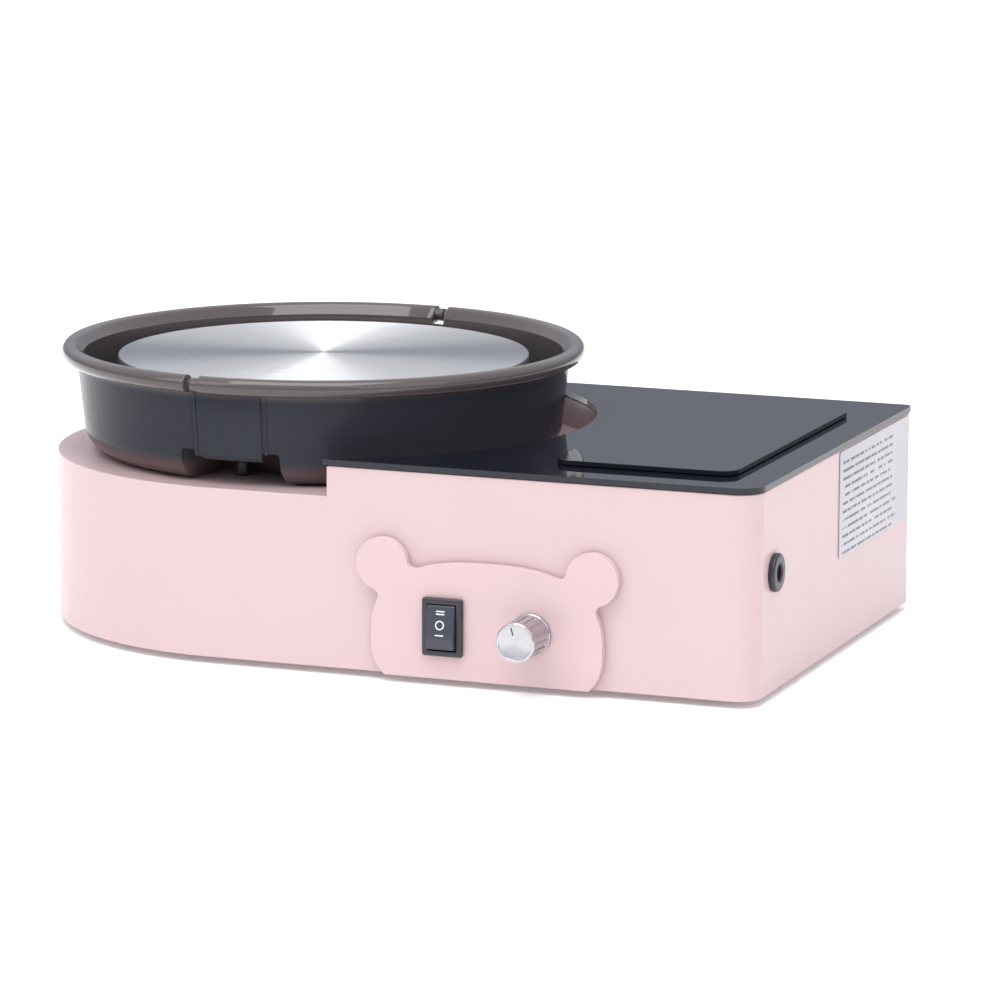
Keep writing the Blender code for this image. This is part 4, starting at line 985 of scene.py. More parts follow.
@dataclass
class Housing:
    """The pink shell: a low round deck beside a raised block, hollow and open underneath."""

    plan: BodyPlan
    ledge: float = 0.0616
    block: float = 0.0726
    wall: float = 0.0025
    spindle_opening: float = 0.0120
    edge: float = 0.0006

    def build(self) -> None:
        """Model the shell, cut its openings, and fit it."""
        deck = self.ledge - self.wall
        shell = self.plan.slab("housing_shell", 0, self.block)
        low_room = self.plan.slab("low_room", -OVERRUN, deck, self.wall)
        high_room = self.plan.slab("high_room", deck - OVERRUN, self.block - self.wall, self.wall)
        high_room.cut(self.plan.recess("recess_wall", 0, self.block + OVERRUN, self.wall))
        shell.cut(self.plan.recess("recess", self.ledge, self.block + OVERRUN))
        shell.cut(low_room.weld(high_room))
        shell.cut(Workpiece.rod("spindle_opening", self.spindle_opening, deck - OVERRUN,
                                self.ledge + OVERRUN))
        shell.cut(*front_openings(self.plan), inlet_opening(self.plan))
        shell.soften(self.edge).flatten()
        shell.fit("frame", PINK_ABS.make(), "pink_abs", ["housing"])


def front_openings(plan: BodyPlan) -> list[Workpiece]:
    """The holes for the switch's body and the speed control's bushing, as solids.

    Args:
        plan: The housing's plan.

    Returns:
        The two solids.
    """
    front = -plan.depth / 2
    switch, dial = middle("power_switch") - ORIGIN, middle("speed_knob") - ORIGIN
    half_width, half_height = 0.0067, 0.0096
    return [
        Workpiece.block("switch_opening", (switch.x - half_width, front - 0.006, switch.z - half_height),
                        (switch.x + half_width, front + 0.006, switch.z + half_height)),
        Workpiece.rod("bushing_opening", 0.0037, -0.006, 0.006, sides=32)
        .place((dial.x, front, dial.z), Facing.FRONT),
    ]


def inlet_opening(plan: BodyPlan) -> Workpiece:
    """The hole for the power inlet's barrel, as a solid."""
    inlet = middle("power_inlet") - ORIGIN
    return (Workpiece.rod("inlet_opening", 0.0056, -0.006, 0.006, sides=40)
            .place((plan.right_reach, inlet.y, inlet.z), Facing.RIGHT))


@dataclass
class TopPlates:
    """The black sheet on the raised block, and the tool platform on it."""

    plan: BodyPlan
    thickness: float = 0.0021
    overhang: float = 0.0005
    edge: float = 0.00018
    platform_corner: float = 0.0065

    def build(self) -> None:
        """Model and fit both sheets."""
        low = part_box("top_plate")[0].z - ORIGIN.z
        finish = BLACK_ACRYLIC.make()
        sheet = self.plan.slab("top_plate_sheet", low, low + self.thickness, -self.overhang)
        sheet.cut(self.plan.recess("plate_recess", low - OVERRUN, low + self.thickness + OVERRUN))
        sheet.soften(self.edge, 2).flatten().fit("frame", finish, "black_acrylic", ["top_plate"])
        start, end = corners_of("tool_platform")
        platform = Workpiece.block("tool_platform_sheet", start, end)
        platform.round_edges(upright, self.platform_corner, 12)
        platform.soften(self.edge, 2).flatten()
        platform.fit("frame", finish, "black_acrylic", ["tool_platform"])


# ---------------------------------------------------------------- controls
@dataclass
class ControlPanel:
    """The pink front panel: a rounded head with two round ears, cut from sheet."""

    plan: BodyPlan
    x: float = 0.1012
    thickness: float = 0.0030
    half_width: float = 0.0433
    waist: float = 0.0140
    above: float = 0.0282
    below: float = 0.0230
    roundness: float = 2.6
    cheek_top: float = math.radians(20)
    crown_start: float = math.radians(62)
    ear: Point = (0.0392, 0.0395)
    ear_radius: float = 0.0097
    ear_sweep: Point = (-60, 165)
    edge: float = 0.0004

    def head(self, turn: float) -> tuple[float, float]:
        """A point of the rounded head, at this angle from its right-hand tip."""
        across = math.copysign(abs(math.cos(turn)) ** (2 / self.roundness), math.cos(turn))
        up = math.copysign(abs(math.sin(turn)) ** (2 / self.roundness), math.sin(turn))
        reach = self.above if up > 0 else self.below
        return (self.half_width * across, self.waist + reach * up)

    def outline(self) -> list[tuple[float, float]]:
        """The right half from the bottom edge to the crown, then its mirror image."""
        bottom = -math.asin((self.waist / self.below) ** (self.roundness / 2))
        cheek = [self.head(bottom + (self.cheek_top - bottom) * i / 18) for i in range(19)]
        ear = arc(self.ear, self.ear_radius, *self.ear_sweep, 48)
        crown = [self.head(self.crown_start + (math.pi / 2 - self.crown_start) * i / 14) for i in range(15)]
        lower_corner = (self.ear[0], self.ear[1] - self.ear_radius)
        upper_corner = (self.ear[0] - self.ear_radius, self.ear[1] - self.ear_radius / 5)
        right = cheek + bend(cheek[-1], lower_corner, ear[0], 8) + ear
        right += bend(ear[-1], upper_corner, crown[0], 10) + crown
        return right + [(-across, up) for across, up in reversed(right[:-1])]

    def build(self) -> None:
        """Cut the sheet to its outline, open it for the controls, and fit it."""
        panel = Workpiece.plate("control_panel_sheet", self.outline(), self.thickness)
        panel.place((self.x, -self.plan.depth / 2 - GAP, 0), Facing.FRONT)
        panel.cut(*front_openings(self.plan))
        panel.soften(self.edge).flatten()
        panel.fit("frame", PINK_ACRYLIC.make(), "pink_acrylic", ["control_panel"])


@dataclass
class PowerSwitch:
    """A rocker switch: bezel and body in one, the rocker, and the marks printed on it."""

    width: float = 0.0150
    height: float = 0.0207
    bezel: float = 0.0020
    body_half: Point = (0.0064, 0.0093)
    body_back: float = -0.0117
    terminal_half: Point = (0.0030, 0.0005)
    terminal_rise: float = 0.0055
    terminal_length: float = 0.0070
    pocket_half: Point = (0.00545, 0.0084)
    pocket_depth: float = 0.0066
    rocker_half: Point = (0.00515, 0.0078)
    rocker_face: float = 0.0028
    rocker_back: float = -0.0030
    rocker_ends: tuple[float, ...] = (0.0005, 0.0036)
    rocker_slope: float = math.radians(24)
    pivot_depth: float = 0.0010
    tilt: float = math.radians(-9.0)
    mark: float = 0.00007
    mark_rises: tuple[float, ...] = (0.0057, 0.0047, -0.0028)
    mark_half: Point = (0.0016, 0.0002)
    ring: Point = (0.00165, 0.00125)
    ring_rise: float = 0.0008

    def build(self) -> None:
        """Model and fit the bezel, the rocker and its marks."""
        low, high = corners_of("power_switch")
        at = Vector(((low.x + high.x) / 2, low.y + self.bezel, (low.z + high.z) / 2))
        self.make_bezel().place(at, Facing.FRONT).fit(
            "frame", BLACK_PLASTIC.make(), "black_plastic", ["power_switch"])
        pivot = Vector((at.x, low.y + self.pivot_depth, at.z))
        self.tip(self.make_rocker(), pivot).fit(
            "rocker", ROCKER_PLASTIC.make(), "black_plastic", ["switch_rocker"])
        self.tip(self.make_marks(), pivot).fit("rocker", MARK_INK.make(), "label_white")

    def make_bezel(self) -> Workpiece:
        """The bezel, body, terminals and pocket, lying on its back."""
        half = (self.width / 2, self.height / 2)
        bezel = Workpiece.block("power_switch_bezel", (-half[0], -half[1], 0), (*half, self.bezel))
        bezel.round_edges(upright, 0.0009, 5)
        bezel.round_edges(lambda edge: all(v.co.z > self.bezel - 1e-6 for v in edge.verts), 0.0006, 2)
        bezel.weld(Workpiece.block("switch_body", (-self.body_half[0], -self.body_half[1], self.body_back),
                                   (*self.body_half, self.bezel / 2)))
        for index, side in enumerate((-1, 1)):
            rise = side * self.terminal_rise
            bezel.weld(Workpiece.block(
                f"terminal_{index}",
                (-self.terminal_half[0], rise - self.terminal_half[1], self.body_back - self.terminal_length),
                (self.terminal_half[0], rise + self.terminal_half[1], self.body_back + OVERRUN)))
        bezel.cut(Workpiece.block("pocket", (-self.pocket_half[0], -self.pocket_half[1],
                                             self.bezel - self.pocket_depth),
                                  (*self.pocket_half, self.bezel + OVERRUN)))
        return bezel.soften(0.00018, 2)

    def make_rocker(self) -> Workpiece:
        """The rocker, level and lying on its back, with chamfered ends."""
        across, up = self.rocker_half
        rocker = Workpiece.block("switch_rocker_cap", (-across, -up, self.rocker_back),
                                 (across, up, self.rocker_face))
        upper, lower = self.rocker_ends
        rocker.round_edges(lambda edge: all(v.co.y > up - 1e-6 and v.co.z > self.rocker_face - 1e-6
                                            for v in edge.verts), upper, 2)
        wedge = Workpiece.block("rocker_wedge", (-0.01, -0.01, 0), (0.01, 0, 0.01))
        wedge.item.matrix_world = (Matrix.Translation((0, lower - up, self.rocker_face))
                                   @ Matrix.Rotation(self.rocker_slope, 4, "X"))
        rocker.cut(wedge.settle())
        return rocker.soften(0.00022, 3, 18)

    def make_marks(self) -> Workpiece:
        """Two bars, a ring and one bar, as thin prints on the rocker's face."""
        low, high = self.rocker_face - 0.00002, self.rocker_face + self.mark
        (outer, inner), centre, (across, up) = self.ring, (0, self.ring_rise), self.mark_half
        marks = Workpiece.rod("switch_marks", outer, low, high, centre, 40)
        marks.cut(Workpiece.rod("ring_middle", inner, low - GAP, high + GAP, centre, 40))
        for rise in self.mark_rises:
            marks.weld(Workpiece.block("bar", (-across, rise - up, low), (across, rise + up, high)))
        return marks.smooth()

    def tip(self, piece: Workpiece, pivot: Vector) -> Workpiece:
        """Tip a level piece with its upper end pressed in, and bring it to the pivot.

        Args:
            piece: The level piece.
            pivot: The rocker's axis.

        Returns:
            The piece in place.
        """
        piece.item.matrix_world = Matrix.Rotation(self.tilt, 4, "X")
        return piece.settle().place(pivot, Facing.FRONT)


@dataclass
class SpeedKnob:
    """A turned knob with a dished face, slots along its side, a thin skirt and a dark pointer."""

    radius: float = 0.0071
    skirt_radius: float = 0.0074
    skirt: float = 0.0012
    length: float = 0.0160
    chamfer: float = 0.0004
    dish_radius: float = 0.0061
    dish: float = 0.00025
    recess_radius: float = 0.0056
    recess: float = 0.0025
    bore: float = 0.00315
    bore_depth: float = 0.0093
    slots: int = 16
    slot_width: float = 0.0011
    slot_depth: float = 0.00045
    pointer_turn: float = math.radians(16)
    pointer_half: float = 0.00022
    pointer_reach: Point = (0.0026, 0.0056)

    def build(self) -> None:
        """Model and fit the knob and its pointer."""
        low, high = corners_of("speed_knob")
        at = Vector(((low.x + high.x) / 2, high.y, (low.z + high.z) / 2))
        face = self.length - self.dish
        profile = [
            (0, face), (self.dish_radius, face), (self.dish_radius + 0.0001, self.length),
            (self.radius - self.chamfer, self.length), (self.radius, self.length - self.chamfer),
            (self.radius, self.skirt), (self.skirt_radius, self.skirt * 0.8), (self.skirt_radius, 0),
            (self.recess_radius, 0), (self.recess_radius, self.recess), (self.bore, self.recess),
            (self.bore, self.bore_depth), (0, self.bore_depth)]
        knob = Workpiece.turned("speed_knob_body", profile, 96)
        for index in range(self.slots):
            slot = Workpiece.block(f"slot_{index}",
                                   (self.radius - self.slot_depth, -self.slot_width / 2, self.skirt + 0.0013),
                                   (self.radius + OVERRUN, self.slot_width / 2, self.length - 0.0020))
            knob.cut(slot.place(turn=2 * math.pi * index / self.slots))
        knob.soften(0.0001, 2, 38).place(at, Facing.FRONT)
        finish = TurnedMetal("knob_aluminium", (0.56, 0.555, 0.58), (at.x, at.z), "Y", 0.26, 0.85, 0.00012)
        knob.fit("knob", finish.make(), "turned_aluminium", ["speed_knob"])
        inner, outer = self.pointer_reach
        pointer = Workpiece.block("knob_pointer", (-self.pointer_half, inner, face - 0.00010),
                                  (self.pointer_half, outer, face + 0.00004))
        pointer.round_edges(upright, 0.0002, 4)
        pointer.place(turn=self.pointer_turn).smooth().place(at, Facing.FRONT)
        pointer.fit("knob", POINTER_INK.make(), "black_plastic")


@dataclass
class PowerInlet:
    """A round black power inlet with a pin in its bore."""

    flange_radius: float = 0.0068
    flange: float = 0.0020
    barrel_radius: float = 0.0053
    depth: float = 0.0130
    bore: float = 0.0030
    bore_depth: float = 0.0090
    pin: float = 0.0010

    def build(self) -> None:
        """Model and fit the inlet."""
        low, high = corners_of("power_inlet")
        at = Vector((high.x - self.flange, (low.y + high.y) / 2, (low.z + high.z) / 2))
        floor = self.flange - self.bore_depth
        rim = arc((self.flange_radius - 0.0009, self.flange - 0.0009), 0.0009, 90, 0, 6)
        profile = [
            (0, -GAP), (self.pin, -GAP), (self.pin, floor), (self.bore, floor),
            (self.bore, self.flange - 0.0005), (self.bore + 0.0005, self.flange), *rim,
            (self.flange_radius, 0), (self.barrel_radius, 0),
            (self.barrel_radius, self.flange - self.depth), (0, self.flange - self.depth)]
        inlet = Workpiece.turned("power_inlet_socket", profile, 72).soften(0.0001, 2, 50)
        inlet.place(at, Facing.RIGHT).fit("frame", BLACK_PLASTIC.make(), "black_plastic", ["power_inlet"])


@dataclass
class RatingLabel:
    """A white label on the right face, left blank of lettering."""

    corner: float = 0.0012

    def build(self) -> None:
        """Model and fit the label."""
        low, high = corners_of("rating_label")
        size = high - low
        label = Workpiece.block("rating_label_film", (-size.y / 2, -size.z / 2, 0),
                                (size.y / 2, size.z / 2, size.x))
        label.round_edges(upright, self.corner, 5)
        label.soften(0.00008, 2).place((low.x, (low.y + high.y) / 2, (low.z + high.z) / 2), Facing.RIGHT)
        finish = BlankLabel("label_white", low.y, low.z, size.y, size.z)
        label.fit("frame", finish.make(), "label_white", ["rating_label"])


# ---------------------------------------------------------------- wheel head
@dataclass
class WheelHead:
    """The turned disc that the clay is thrown on."""

    radius: float = 0.0760
    thickness: float = 0.0042
    top: float = 0.0970
    bevel: float = 0.0007
    ring: float = 0.0490

    def build(self) -> None:
        """Model and fit the disc."""
        low = self.top - self.thickness
        profile = [(0, self.top), (self.radius, self.top), (self.radius, low), (0, low)]
        disc = Workpiece.turned("wheel_head_disc", profile, 240).soften(self.bevel)
        finish = TurnedMetal("turned_aluminium", (0.78, 0.79, 0.815), (0.0, 0.0), "Z", 0.31, 1.0,
                             0.0004, 0.000004, self.ring)
        disc.fit("wheel", finish.make(), "turned_aluminium", ["wheel_head"])


# ---------------------------------------------------------------- splash pan
@dataclass
class SplashPan:
    """Two equal smoky mouldings that meet at a seam through the wheel's axis.

    A half is modelled with the seam along Y and itself on the +X side. Its front end carries a tab
    over the seam, and each end has a finger arch in its foot.
    """

    top: float = 0.1017
    bead: float = 0.0032
    outer_radius: float = 0.0968
    wall: float = 0.0022
    wall_top_radius: float = 0.0910
    wall_foot_radius: float = 0.0885
    rounding: float = 0.0100
    bottom: float = 0.0619
    collar_radius: float = 0.0220
    collar_top: float = 0.0725
    seam_angle: float = math.radians(83.3)
    seam_gap: float = 0.0005
    arch_narrow: float = 0.0088
    arch_wide: float = 0.0290
    arch_inner: float = 0.0580
    arch_top: float = 0.0740
    tab_start: float = -91.7
    tab_end: float = -75.0
    tab_bottom: float = 0.0705
    tab_proud: float = 0.0007
    tab_curl: float = 0.0030
    tab_thickness: float = 0.0018
    lap_depth: float = 0.0016
    lap_margin: float = 0.15
    past_seam: float = 91.5
    neck_start: float = -90.5
    bead_front: float = -88.5
    bead_back: float = 88.2
    neck: float = 0.0025
    seam_groove: Point = (-90.75, -90.45)
    rib: Point = (0.75, 1.25)

    def build(self) -> None:
        """Model one half, copy it for the other, and fit both."""
        # foot: a painted reflection of the pink ledge on the rounded foot.
        finish = SmokyPlastic(
            "smoky_plastic", wall=(0.034, 0.036, 0.046), rim=(0.080, 0.066, 0.066),
            # inside: the inner face painted lighter, as painted light.
            foot=(0.128, 0.090, 0.090), inside=(0.062, 0.056, 0.060), rim_low=0.0925, rim_high=0.0965,
            foot_low=self.bottom + self.rounding * 0.35,
            foot_high=self.bottom + self.rounding * 0.95,
            inner_radius=self.wall_foot_radius - self.wall + 0.0006, draft=0.107).make()
        turn = self.seam_angle - math.pi / 2
        right = self.make_half()
        left = right.copy("pan_left_moulding")
        left.place(turn=turn + math.pi).fit("pan_left", finish, "smoky_plastic", ["pan_half_left"])
        right.place(turn=turn).fit("pan_right", finish, "smoky_plastic", ["pan_half_right"])

    def sector(self, name: str, profile: Sequence[Point], start: float, end: float,
               steps: int) -> Workpiece:
        """A closed profile swept round part of the pan.

        Args:
            name: What the piece is called.
            profile: Its corners, as radius and height.
            start: Where the sweep starts, in degrees from the half's own +X.
            end: Where it ends.
            steps: How many steps it takes.

        Returns:
            The solid.
        """
        return Workpiece.turned(name, profile, steps, math.radians(start),
                                math.radians(end - start), closed=True)

    def section(self) -> list[Point]:
        """The half's section: collar, floor, rounded foot, drafted wall and a rolled bead."""
        foot = (self.wall_foot_radius - self.rounding, self.bottom + self.rounding)
        bead = (self.outer_radius - self.bead, self.top - self.bead)
        collar = self.collar_radius - self.wall
        outside = [(collar, self.collar_top), (collar, self.bottom)]
        outside += arc(foot, self.rounding, -90, 0, 10) + [(self.wall_top_radius, bead[1] - self.bead)]
        rim = arc(bead, self.bead, -90, 150, 20)
        inside = [(self.wall_top_radius - self.wall, bead[1] - self.bead * 0.3)]
        inside += arc(foot, self.rounding - self.wall, 0, -90, 8)
        floor = self.bottom + self.wall
        return outside + rim + inside + [(self.collar_radius, floor), (self.collar_radius, self.collar_top)]

    def seam_block(self, name: str, across: Point, inner: float, low: float, high: float,
                   back: bool) -> Workpiece:
        """A block at one end of the seam.

        Args:
            name: What it is called.
            across: Where it starts and ends, from the seam towards the half.
            inner: How far from the axis it starts.
            low: The height of its underside.
            high: The height of its top.
            back: Whether it is at the back end.

        Returns:
            The block.
        """
        reach = self.outer_radius + OVERRUN
        along = (inner, reach) if back else (-reach, -inner)
        return Workpiece.block(name, (across[0], along[0], low), (across[1], along[1], high))

    def make_half(self) -> Workpiece:
        """The right-hand half, before it is turned to the seam's angle."""
        half = self.sector("pan_right_moulding", self.section(), -90, 90, 120)
        for back, width in ((False, self.arch_wide), (True, self.arch_narrow)):
            self.make_arch(half, back, width)
        reach = self.outer_radius + OVERRUN
        half.cut(Workpiece.block("seam_trim", (-reach, -reach, 0), (self.seam_gap / 2, reach, 0.12)))
        self.make_rim_ends(half)
        half.cut(self.lap_room())
        half.weld(self.make_tab(), self.make_rib())
        half.cut(self.seam_line())
        return half.soften(0.00028, 2, 38)

    def make_arch(self, half: Workpiece, back: bool, width: float) -> None:
        """Raise a hood in the pan's foot at one end of the seam, and open the arch under it.

        Args:
            half: The half that is changed.
            back: Whether it is the back end.
            width: How far the arch reaches from the seam.
        """
        tag = "back" if back else "front"
        shell = self.wall / 2
        foot = (self.wall_foot_radius - self.rounding, self.bottom + self.rounding)
        solid = [(0, self.bottom + shell)] + arc(foot, self.rounding - shell, -90, 0, 10)
        solid += [(self.wall_top_radius - shell, self.top - 2 * self.bead),
                  (0, self.top - 2 * self.bead)]
        hood = self.seam_block(f"hood_{tag}", (-OVERRUN, width + self.wall), self.arch_inner - self.wall,
                               self.bottom - OVERRUN, self.arch_top + self.wall, back)
        hood.round_edges(lambda edge: abs(edge.verts[0].co.y - edge.verts[1].co.y) > 0.01
                         and edge.verts[0].co.x > width and edge.verts[0].co.z > self.arch_top, 0.0030, 5)
        hood.combine(Workpiece.turned(f"envelope_{tag}", solid, 120), Joinery.COMMON)
        half.weld(hood)
        arch = self.seam_block(f"arch_{tag}", (-2 * OVERRUN, width), self.arch_inner,
                               self.bottom - OVERRUN, self.arch_top, back)
        arch.round_edges(lambda edge: abs(edge.verts[0].co.y - edge.verts[1].co.y) > 0.01
                         and edge.verts[0].co.x > width - 1e-6 and edge.verts[0].co.z > self.arch_top - 1e-6,
                         0.0014, 5)
        half.cut(arch)

    def make_rim_ends(self, half: Workpiece) -> None:
        """Cut the bead short of the seam at both ends, and leave a thinner neck at the front."""
        low, high = self.top - 2 * self.bead - 0.0001, self.top + OVERRUN
        room = [(self.wall_top_radius - self.wall - OVERRUN, low), (self.outer_radius + OVERRUN, low),
                (self.outer_radius + OVERRUN, high), (self.wall_top_radius - self.wall - OVERRUN, high)]
        half.cut(self.sector("rim_front", room, -self.past_seam, self.bead_front, 8),
                 self.sector("rim_back", room, self.bead_back, self.past_seam, 8))
        centre = (self.outer_radius - self.bead, self.top - self.bead - 0.0002)
        neck = arc(centre, self.neck, 0, 360, 24)[:-1]
        half.weld(self.sector("neck", neck, self.neck_start, self.bead_front + 1.0, 6))

    def make_tab(self) -> Workpiece:
        """The tab outside the wall, with rounded lower corners and its foot curled in."""
        outer = self.wall_foot_radius + self.tab_proud
        top = self.top - 2 * self.bead - 0.0003
        top_radius = self.wall_top_radius + self.tab_proud
        centre = (outer - self.tab_curl, self.tab_bottom + self.tab_curl)
        profile = [*arc(centre, self.tab_curl, -70, 0, 6), (top_radius, top),
                   (top_radius - self.tab_thickness, top),
                   *arc(centre, self.tab_curl - self.tab_thickness, 0, -70, 4)]
        tab = self.sector("tab", profile, self.tab_start, self.tab_end, 20)
        corners = [math.radians(angle) for angle in (self.tab_start, self.tab_end)]

        def lower_corner(edge: bmesh.types.BMEdge) -> bool:
            """Whether an edge lies along the thickness at the tab's lower ends."""
            ends = [v.co for v in edge.verts]
            low = all(point.z < self.tab_bottom + 0.0016 for point in ends)
            at_end = any(all(abs(math.atan2(point.y, point.x) - turn) < 1e-3 for point in ends)
                         for turn in corners)
            return low and at_end

        tab.round_edges(lower_corner, 0.0007, 3)
        clear, inside = 0.0002, self.wall_foot_radius - 0.0080
        room = [(inside, self.tab_bottom - 0.0010), (self.wall_foot_radius + clear, self.tab_bottom - 0.0010),
                (self.wall_foot_radius + clear, self.arch_top - 0.0008),
                (self.wall_top_radius + clear, top + OVERRUN), (inside, top + OVERRUN)]
        return tab.cut(self.sector("other_wall", room, self.tab_start - 1.0, -90.0, 4))

    def lap_room(self) -> Workpiece:
        """The step in the back end's wall that the other half's tab rises in, as a solid."""
        low, high = self.bottom + self.rounding, self.top - 2 * self.bead + 0.0001
        profile = [(self.wall_foot_radius - self.lap_depth, low), (self.wall_foot_radius + OVERRUN, low),
                   (self.wall_top_radius + OVERRUN, high), (self.wall_top_radius - self.lap_depth, high)]
        return self.sector("lap_room", profile, 180 + self.tab_start - self.lap_margin, self.past_seam, 6)

    def seam_line(self) -> Workpiece:
        """A thin upright groove down the tab, as a solid."""
        outer = self.wall_foot_radius + self.tab_proud
        top_radius = self.wall_top_radius + self.tab_proud
        depth, low, high = 0.0003, self.tab_bottom + 0.0015, self.top - 2 * self.bead
        profile = [(outer - depth, low), (outer + OVERRUN, low), (top_radius + OVERRUN, high),
                   (top_radius - depth, high)]
        return self.sector("seam_line", profile, *self.seam_groove, 2)

    def make_rib(self) -> Workpiece:
        """A thin upright rib on the wall, just past the tab."""
        low, high = self.arch_top - 0.0005, self.top - 2 * self.bead + 0.0004
        foot, head = self.wall_foot_radius, self.wall_top_radius
        profile = [(foot - 0.0010, low), (foot + 0.0004, low), (head + 0.0004, high), (head - 0.0010, high)]
        start, end = self.rib
        return self.sector("rib", profile, self.tab_end + start, self.tab_end + end, 3)


@dataclass
class PanPegs:
    """The pegs under the pan's arches."""

    radius: float = 0.0030
    height: float = 0.0050

    def build(self) -> None:
        """Model one peg, and fit a copy at each place."""
        profile = [(0, self.height - 0.0006), (0.0011, self.height - 0.0006), (0.0013, self.height),
                   (self.radius, self.height), (self.radius, 0), (0, 0)]
        finish = BLACK_PLASTIC.make()
        for node in ("pan_peg_front", "pan_peg_back"):
            low, high = corners_of(node)
            peg = Workpiece.turned(f"{node}_pin", profile, 48).soften(0.0004)
            peg.place(((low.x + high.x) / 2, (low.y + high.y) / 2, low.z))
            peg.fit("frame", finish, "black_plastic", [node])


@dataclass
class Feet:
    """Rubber feet with a shallow ring in their soles."""

    radius: float = 0.0085
    height: float = 0.0022
    ring: Point = (0.0040, 0.0058)
    ring_depth: float = 0.0005

    def build(self) -> None:
        """Model one foot, and fit a copy at each corner."""
        inner, outer = self.ring
        deep = self.ring_depth
        profile = [(0, self.height), (self.radius, self.height), (self.radius - 0.0004, 0), (outer, 0),
                   (outer - 0.0002, deep), (inner + 0.0002, deep), (inner, 0), (0, 0)]
        finish = RUBBER.make()
        first = Workpiece.turned("foot_pad", profile, 64).soften(0.00025, 2)
        for corner in ("left_front", "left_back", "right_front", "right_back"):
            low, high = corners_of(f"foot_{corner}")
            pad = first.copy(f"foot_pad_{corner}")
            pad.place(((low.x + high.x) / 2, (low.y + high.y) / 2, low.z))
            pad.fit("frame", finish, "rubber", [f"foot_{corner}"])
        bpy.data.objects.remove(first.item, do_unlink=True)


@dataclass
class Works:
    """The pieces under the housing, which keep the frame's own shapes and take finer finishes."""

    finishes: tuple[tuple[object, str], ...] = (
        (PINK_ABS, "base_plate"), (BLACK_PLASTIC, "driven_pulley potentiometer"),
        (STEEL, "spindle upper_bearing lower_bearing motor motor_shaft motor_bracket potentiometer_shaft "
                "potentiometer_nut inlet_nut base_screw_1 base_screw_2 base_screw_3 base_screw_4 "
                "base_screw_5 hub_screw_1 hub_screw_2 hub_screw_3 motor_screw_1 motor_screw_2"),
        (CAST_ALUMINIUM, "wheel_hub bearing_cartridge motor_pulley"),
        (RUBBER, "drive_belt"),
        (CircuitBoard("board_green"), "controller_board"),
        (LEAD_RED, "lead_inlet lead_switch lead_speed lead_motor"))

    def build(self) -> None:
        """Give every remaining node its finish."""
        for finish, names in self.finishes:
            material = finish.make()
            for name in names.split():
                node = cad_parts[name]
                node.data.materials.clear()
                node.data.materials.append(material)
                LOG.info("%s keeps the frame's shape, in %s", name, finish.name)


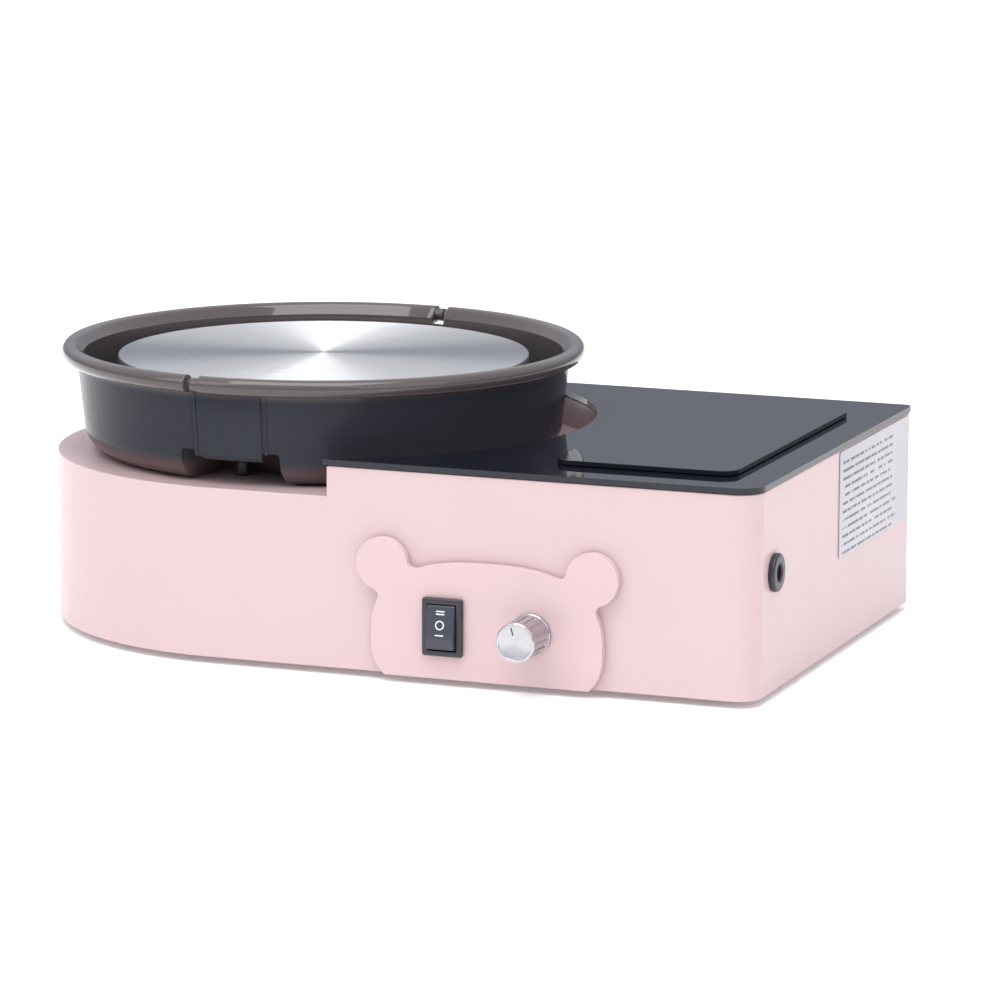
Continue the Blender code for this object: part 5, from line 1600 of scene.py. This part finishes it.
# ---------------------------------------------------------------- studio
@dataclass
class Studio:
    """A plain pale floor, soft light from large panels, and the camera."""

    floor_half: float = 12.0
    floor_colour: Colour = (0.93, 0.93, 0.93)
    floor_glow: float = 0.14
    azimuth: float = 0.3618754
    elevation: float = 0.1865601
    roll: float = 0.0036701
    lens: float = 190.346
    eye: Point = (0.74544, -1.78453, 0.40627)

    def build(self) -> None:
        """Set up the floor, the sky, the lights and the camera."""
        self.lay_floor()
        self.light_sky()
        self.hang_panels()
        self.set_camera()

    def lay_floor(self) -> None:
        """A large pale floor under the feet."""
        bpy.ops.object.select_all(action="DESELECT")
        bpy.ops.mesh.primitive_plane_add(size=2 * self.floor_half, location=(0, 0, -0.0001))
        floor = bpy.context.active_object
        floor.name = "studio_floor"
        bench = NodeBench("studio_floor", self.floor_colour)
        cloud = bench.noise(bench.vector(*bench.place()), 1.5)
        floor.data.materials.append(bench.finish(
            Base_Color=bench.mix(cloud, tuple(c * 0.995 for c in self.floor_colour), self.floor_colour),
            Roughness=0.8, Emission_Color=(1.0, 1.0, 1.0), Emission_Strength=self.floor_glow))

    def light_sky(self) -> None:
        """A sky that is a soft grey at the horizon and bright overhead."""
        world = bpy.data.worlds.new("studio_sky")
        world.use_nodes = True
        bpy.context.scene.world = world
        tree = world.node_tree
        coordinates = tree.nodes.new("ShaderNodeTexCoord")
        parts = tree.nodes.new("ShaderNodeSeparateXYZ")
        ramp = tree.nodes.new("ShaderNodeValToRGB")
        NodeBench.set_stops(ramp.color_ramp, [
            (0.0, (0.30, 0.315, 0.36)), (0.16, (0.34, 0.36, 0.42)), (0.42, (0.80, 0.81, 0.84)),
            (1.0, (1.0, 1.0, 1.0))])
        tree.links.new(coordinates.outputs["Generated"], parts.inputs[0])
        tree.links.new(parts.outputs["Z"], ramp.inputs[0])
        background = tree.nodes["Background"]
        tree.links.new(ramp.outputs[0], background.inputs["Color"])
        background.inputs["Strength"].default_value = 1.0

    def hang_panels(self) -> None:
        """Large soft panels: the main one high at the left front, a weaker one at the right."""
        panels = (("key_panel", (-1.5, -1.7, 1.7), 1.6, 13.0), ("fill_panel", (1.9, -1.2, 1.5), 2.0, 9.0),
                  ("top_panel", (0.0, -0.8, 2.8), 2.2, 60.0))
        target = ORIGIN + Vector((0.03, 0.0, 0.04))
        for name, place, size, power in panels:
            bpy.ops.object.light_add(type="AREA", location=place)
            panel = bpy.context.active_object
            panel.name = name
            panel.data.shape = "SQUARE"
            panel.data.size = size
            panel.data.energy = power
            panel.rotation_euler = (Vector(place) - target).to_track_quat("Z", "Y").to_euler()

    def set_camera(self) -> None:
        """A long lens at the right of the front, a little above."""
        bpy.ops.object.camera_add()
        camera = bpy.context.active_object
        camera.name = "studio_camera"
        flat = math.cos(self.elevation)
        back = Vector((math.sin(self.azimuth) * flat, -math.cos(self.azimuth) * flat,
                       math.sin(self.elevation)))
        right = Vector((math.cos(self.azimuth), math.sin(self.azimuth), 0))
        up = back.cross(right)
        cos, sin = math.cos(self.roll), math.sin(self.roll)
        axes = Matrix((right * cos + up * sin, up * cos - right * sin, back)).transposed()
        camera.matrix_world = Matrix.Translation(ORIGIN + Vector(self.eye)) @ axes.to_4x4()
        camera.data.lens = self.lens
        camera.data.sensor_width = 36.0
        camera.data.clip_start = 0.01
        camera.data.clip_end = 100.0
        bpy.context.scene.camera = camera


def main() -> None:
    """Build every piece in order."""
    logging.basicConfig(level=logging.INFO, format="%(name)s: %(message)s", stream=sys.stdout)
    scene = bpy.context.scene
    scene.view_settings.view_transform = "Standard"
    plan = BodyPlan()
    for assembly in (Studio(), Housing(plan), TopPlates(plan), ControlPanel(plan), PowerSwitch(),
                     SpeedKnob(), PowerInlet(), RatingLabel(), WheelHead(), SplashPan(), PanPegs(),
                     Feet(), Works()):
        assembly.build()
        LOG.info("%s is done", type(assembly).__name__)


if __name__ == "__main__":
    main()
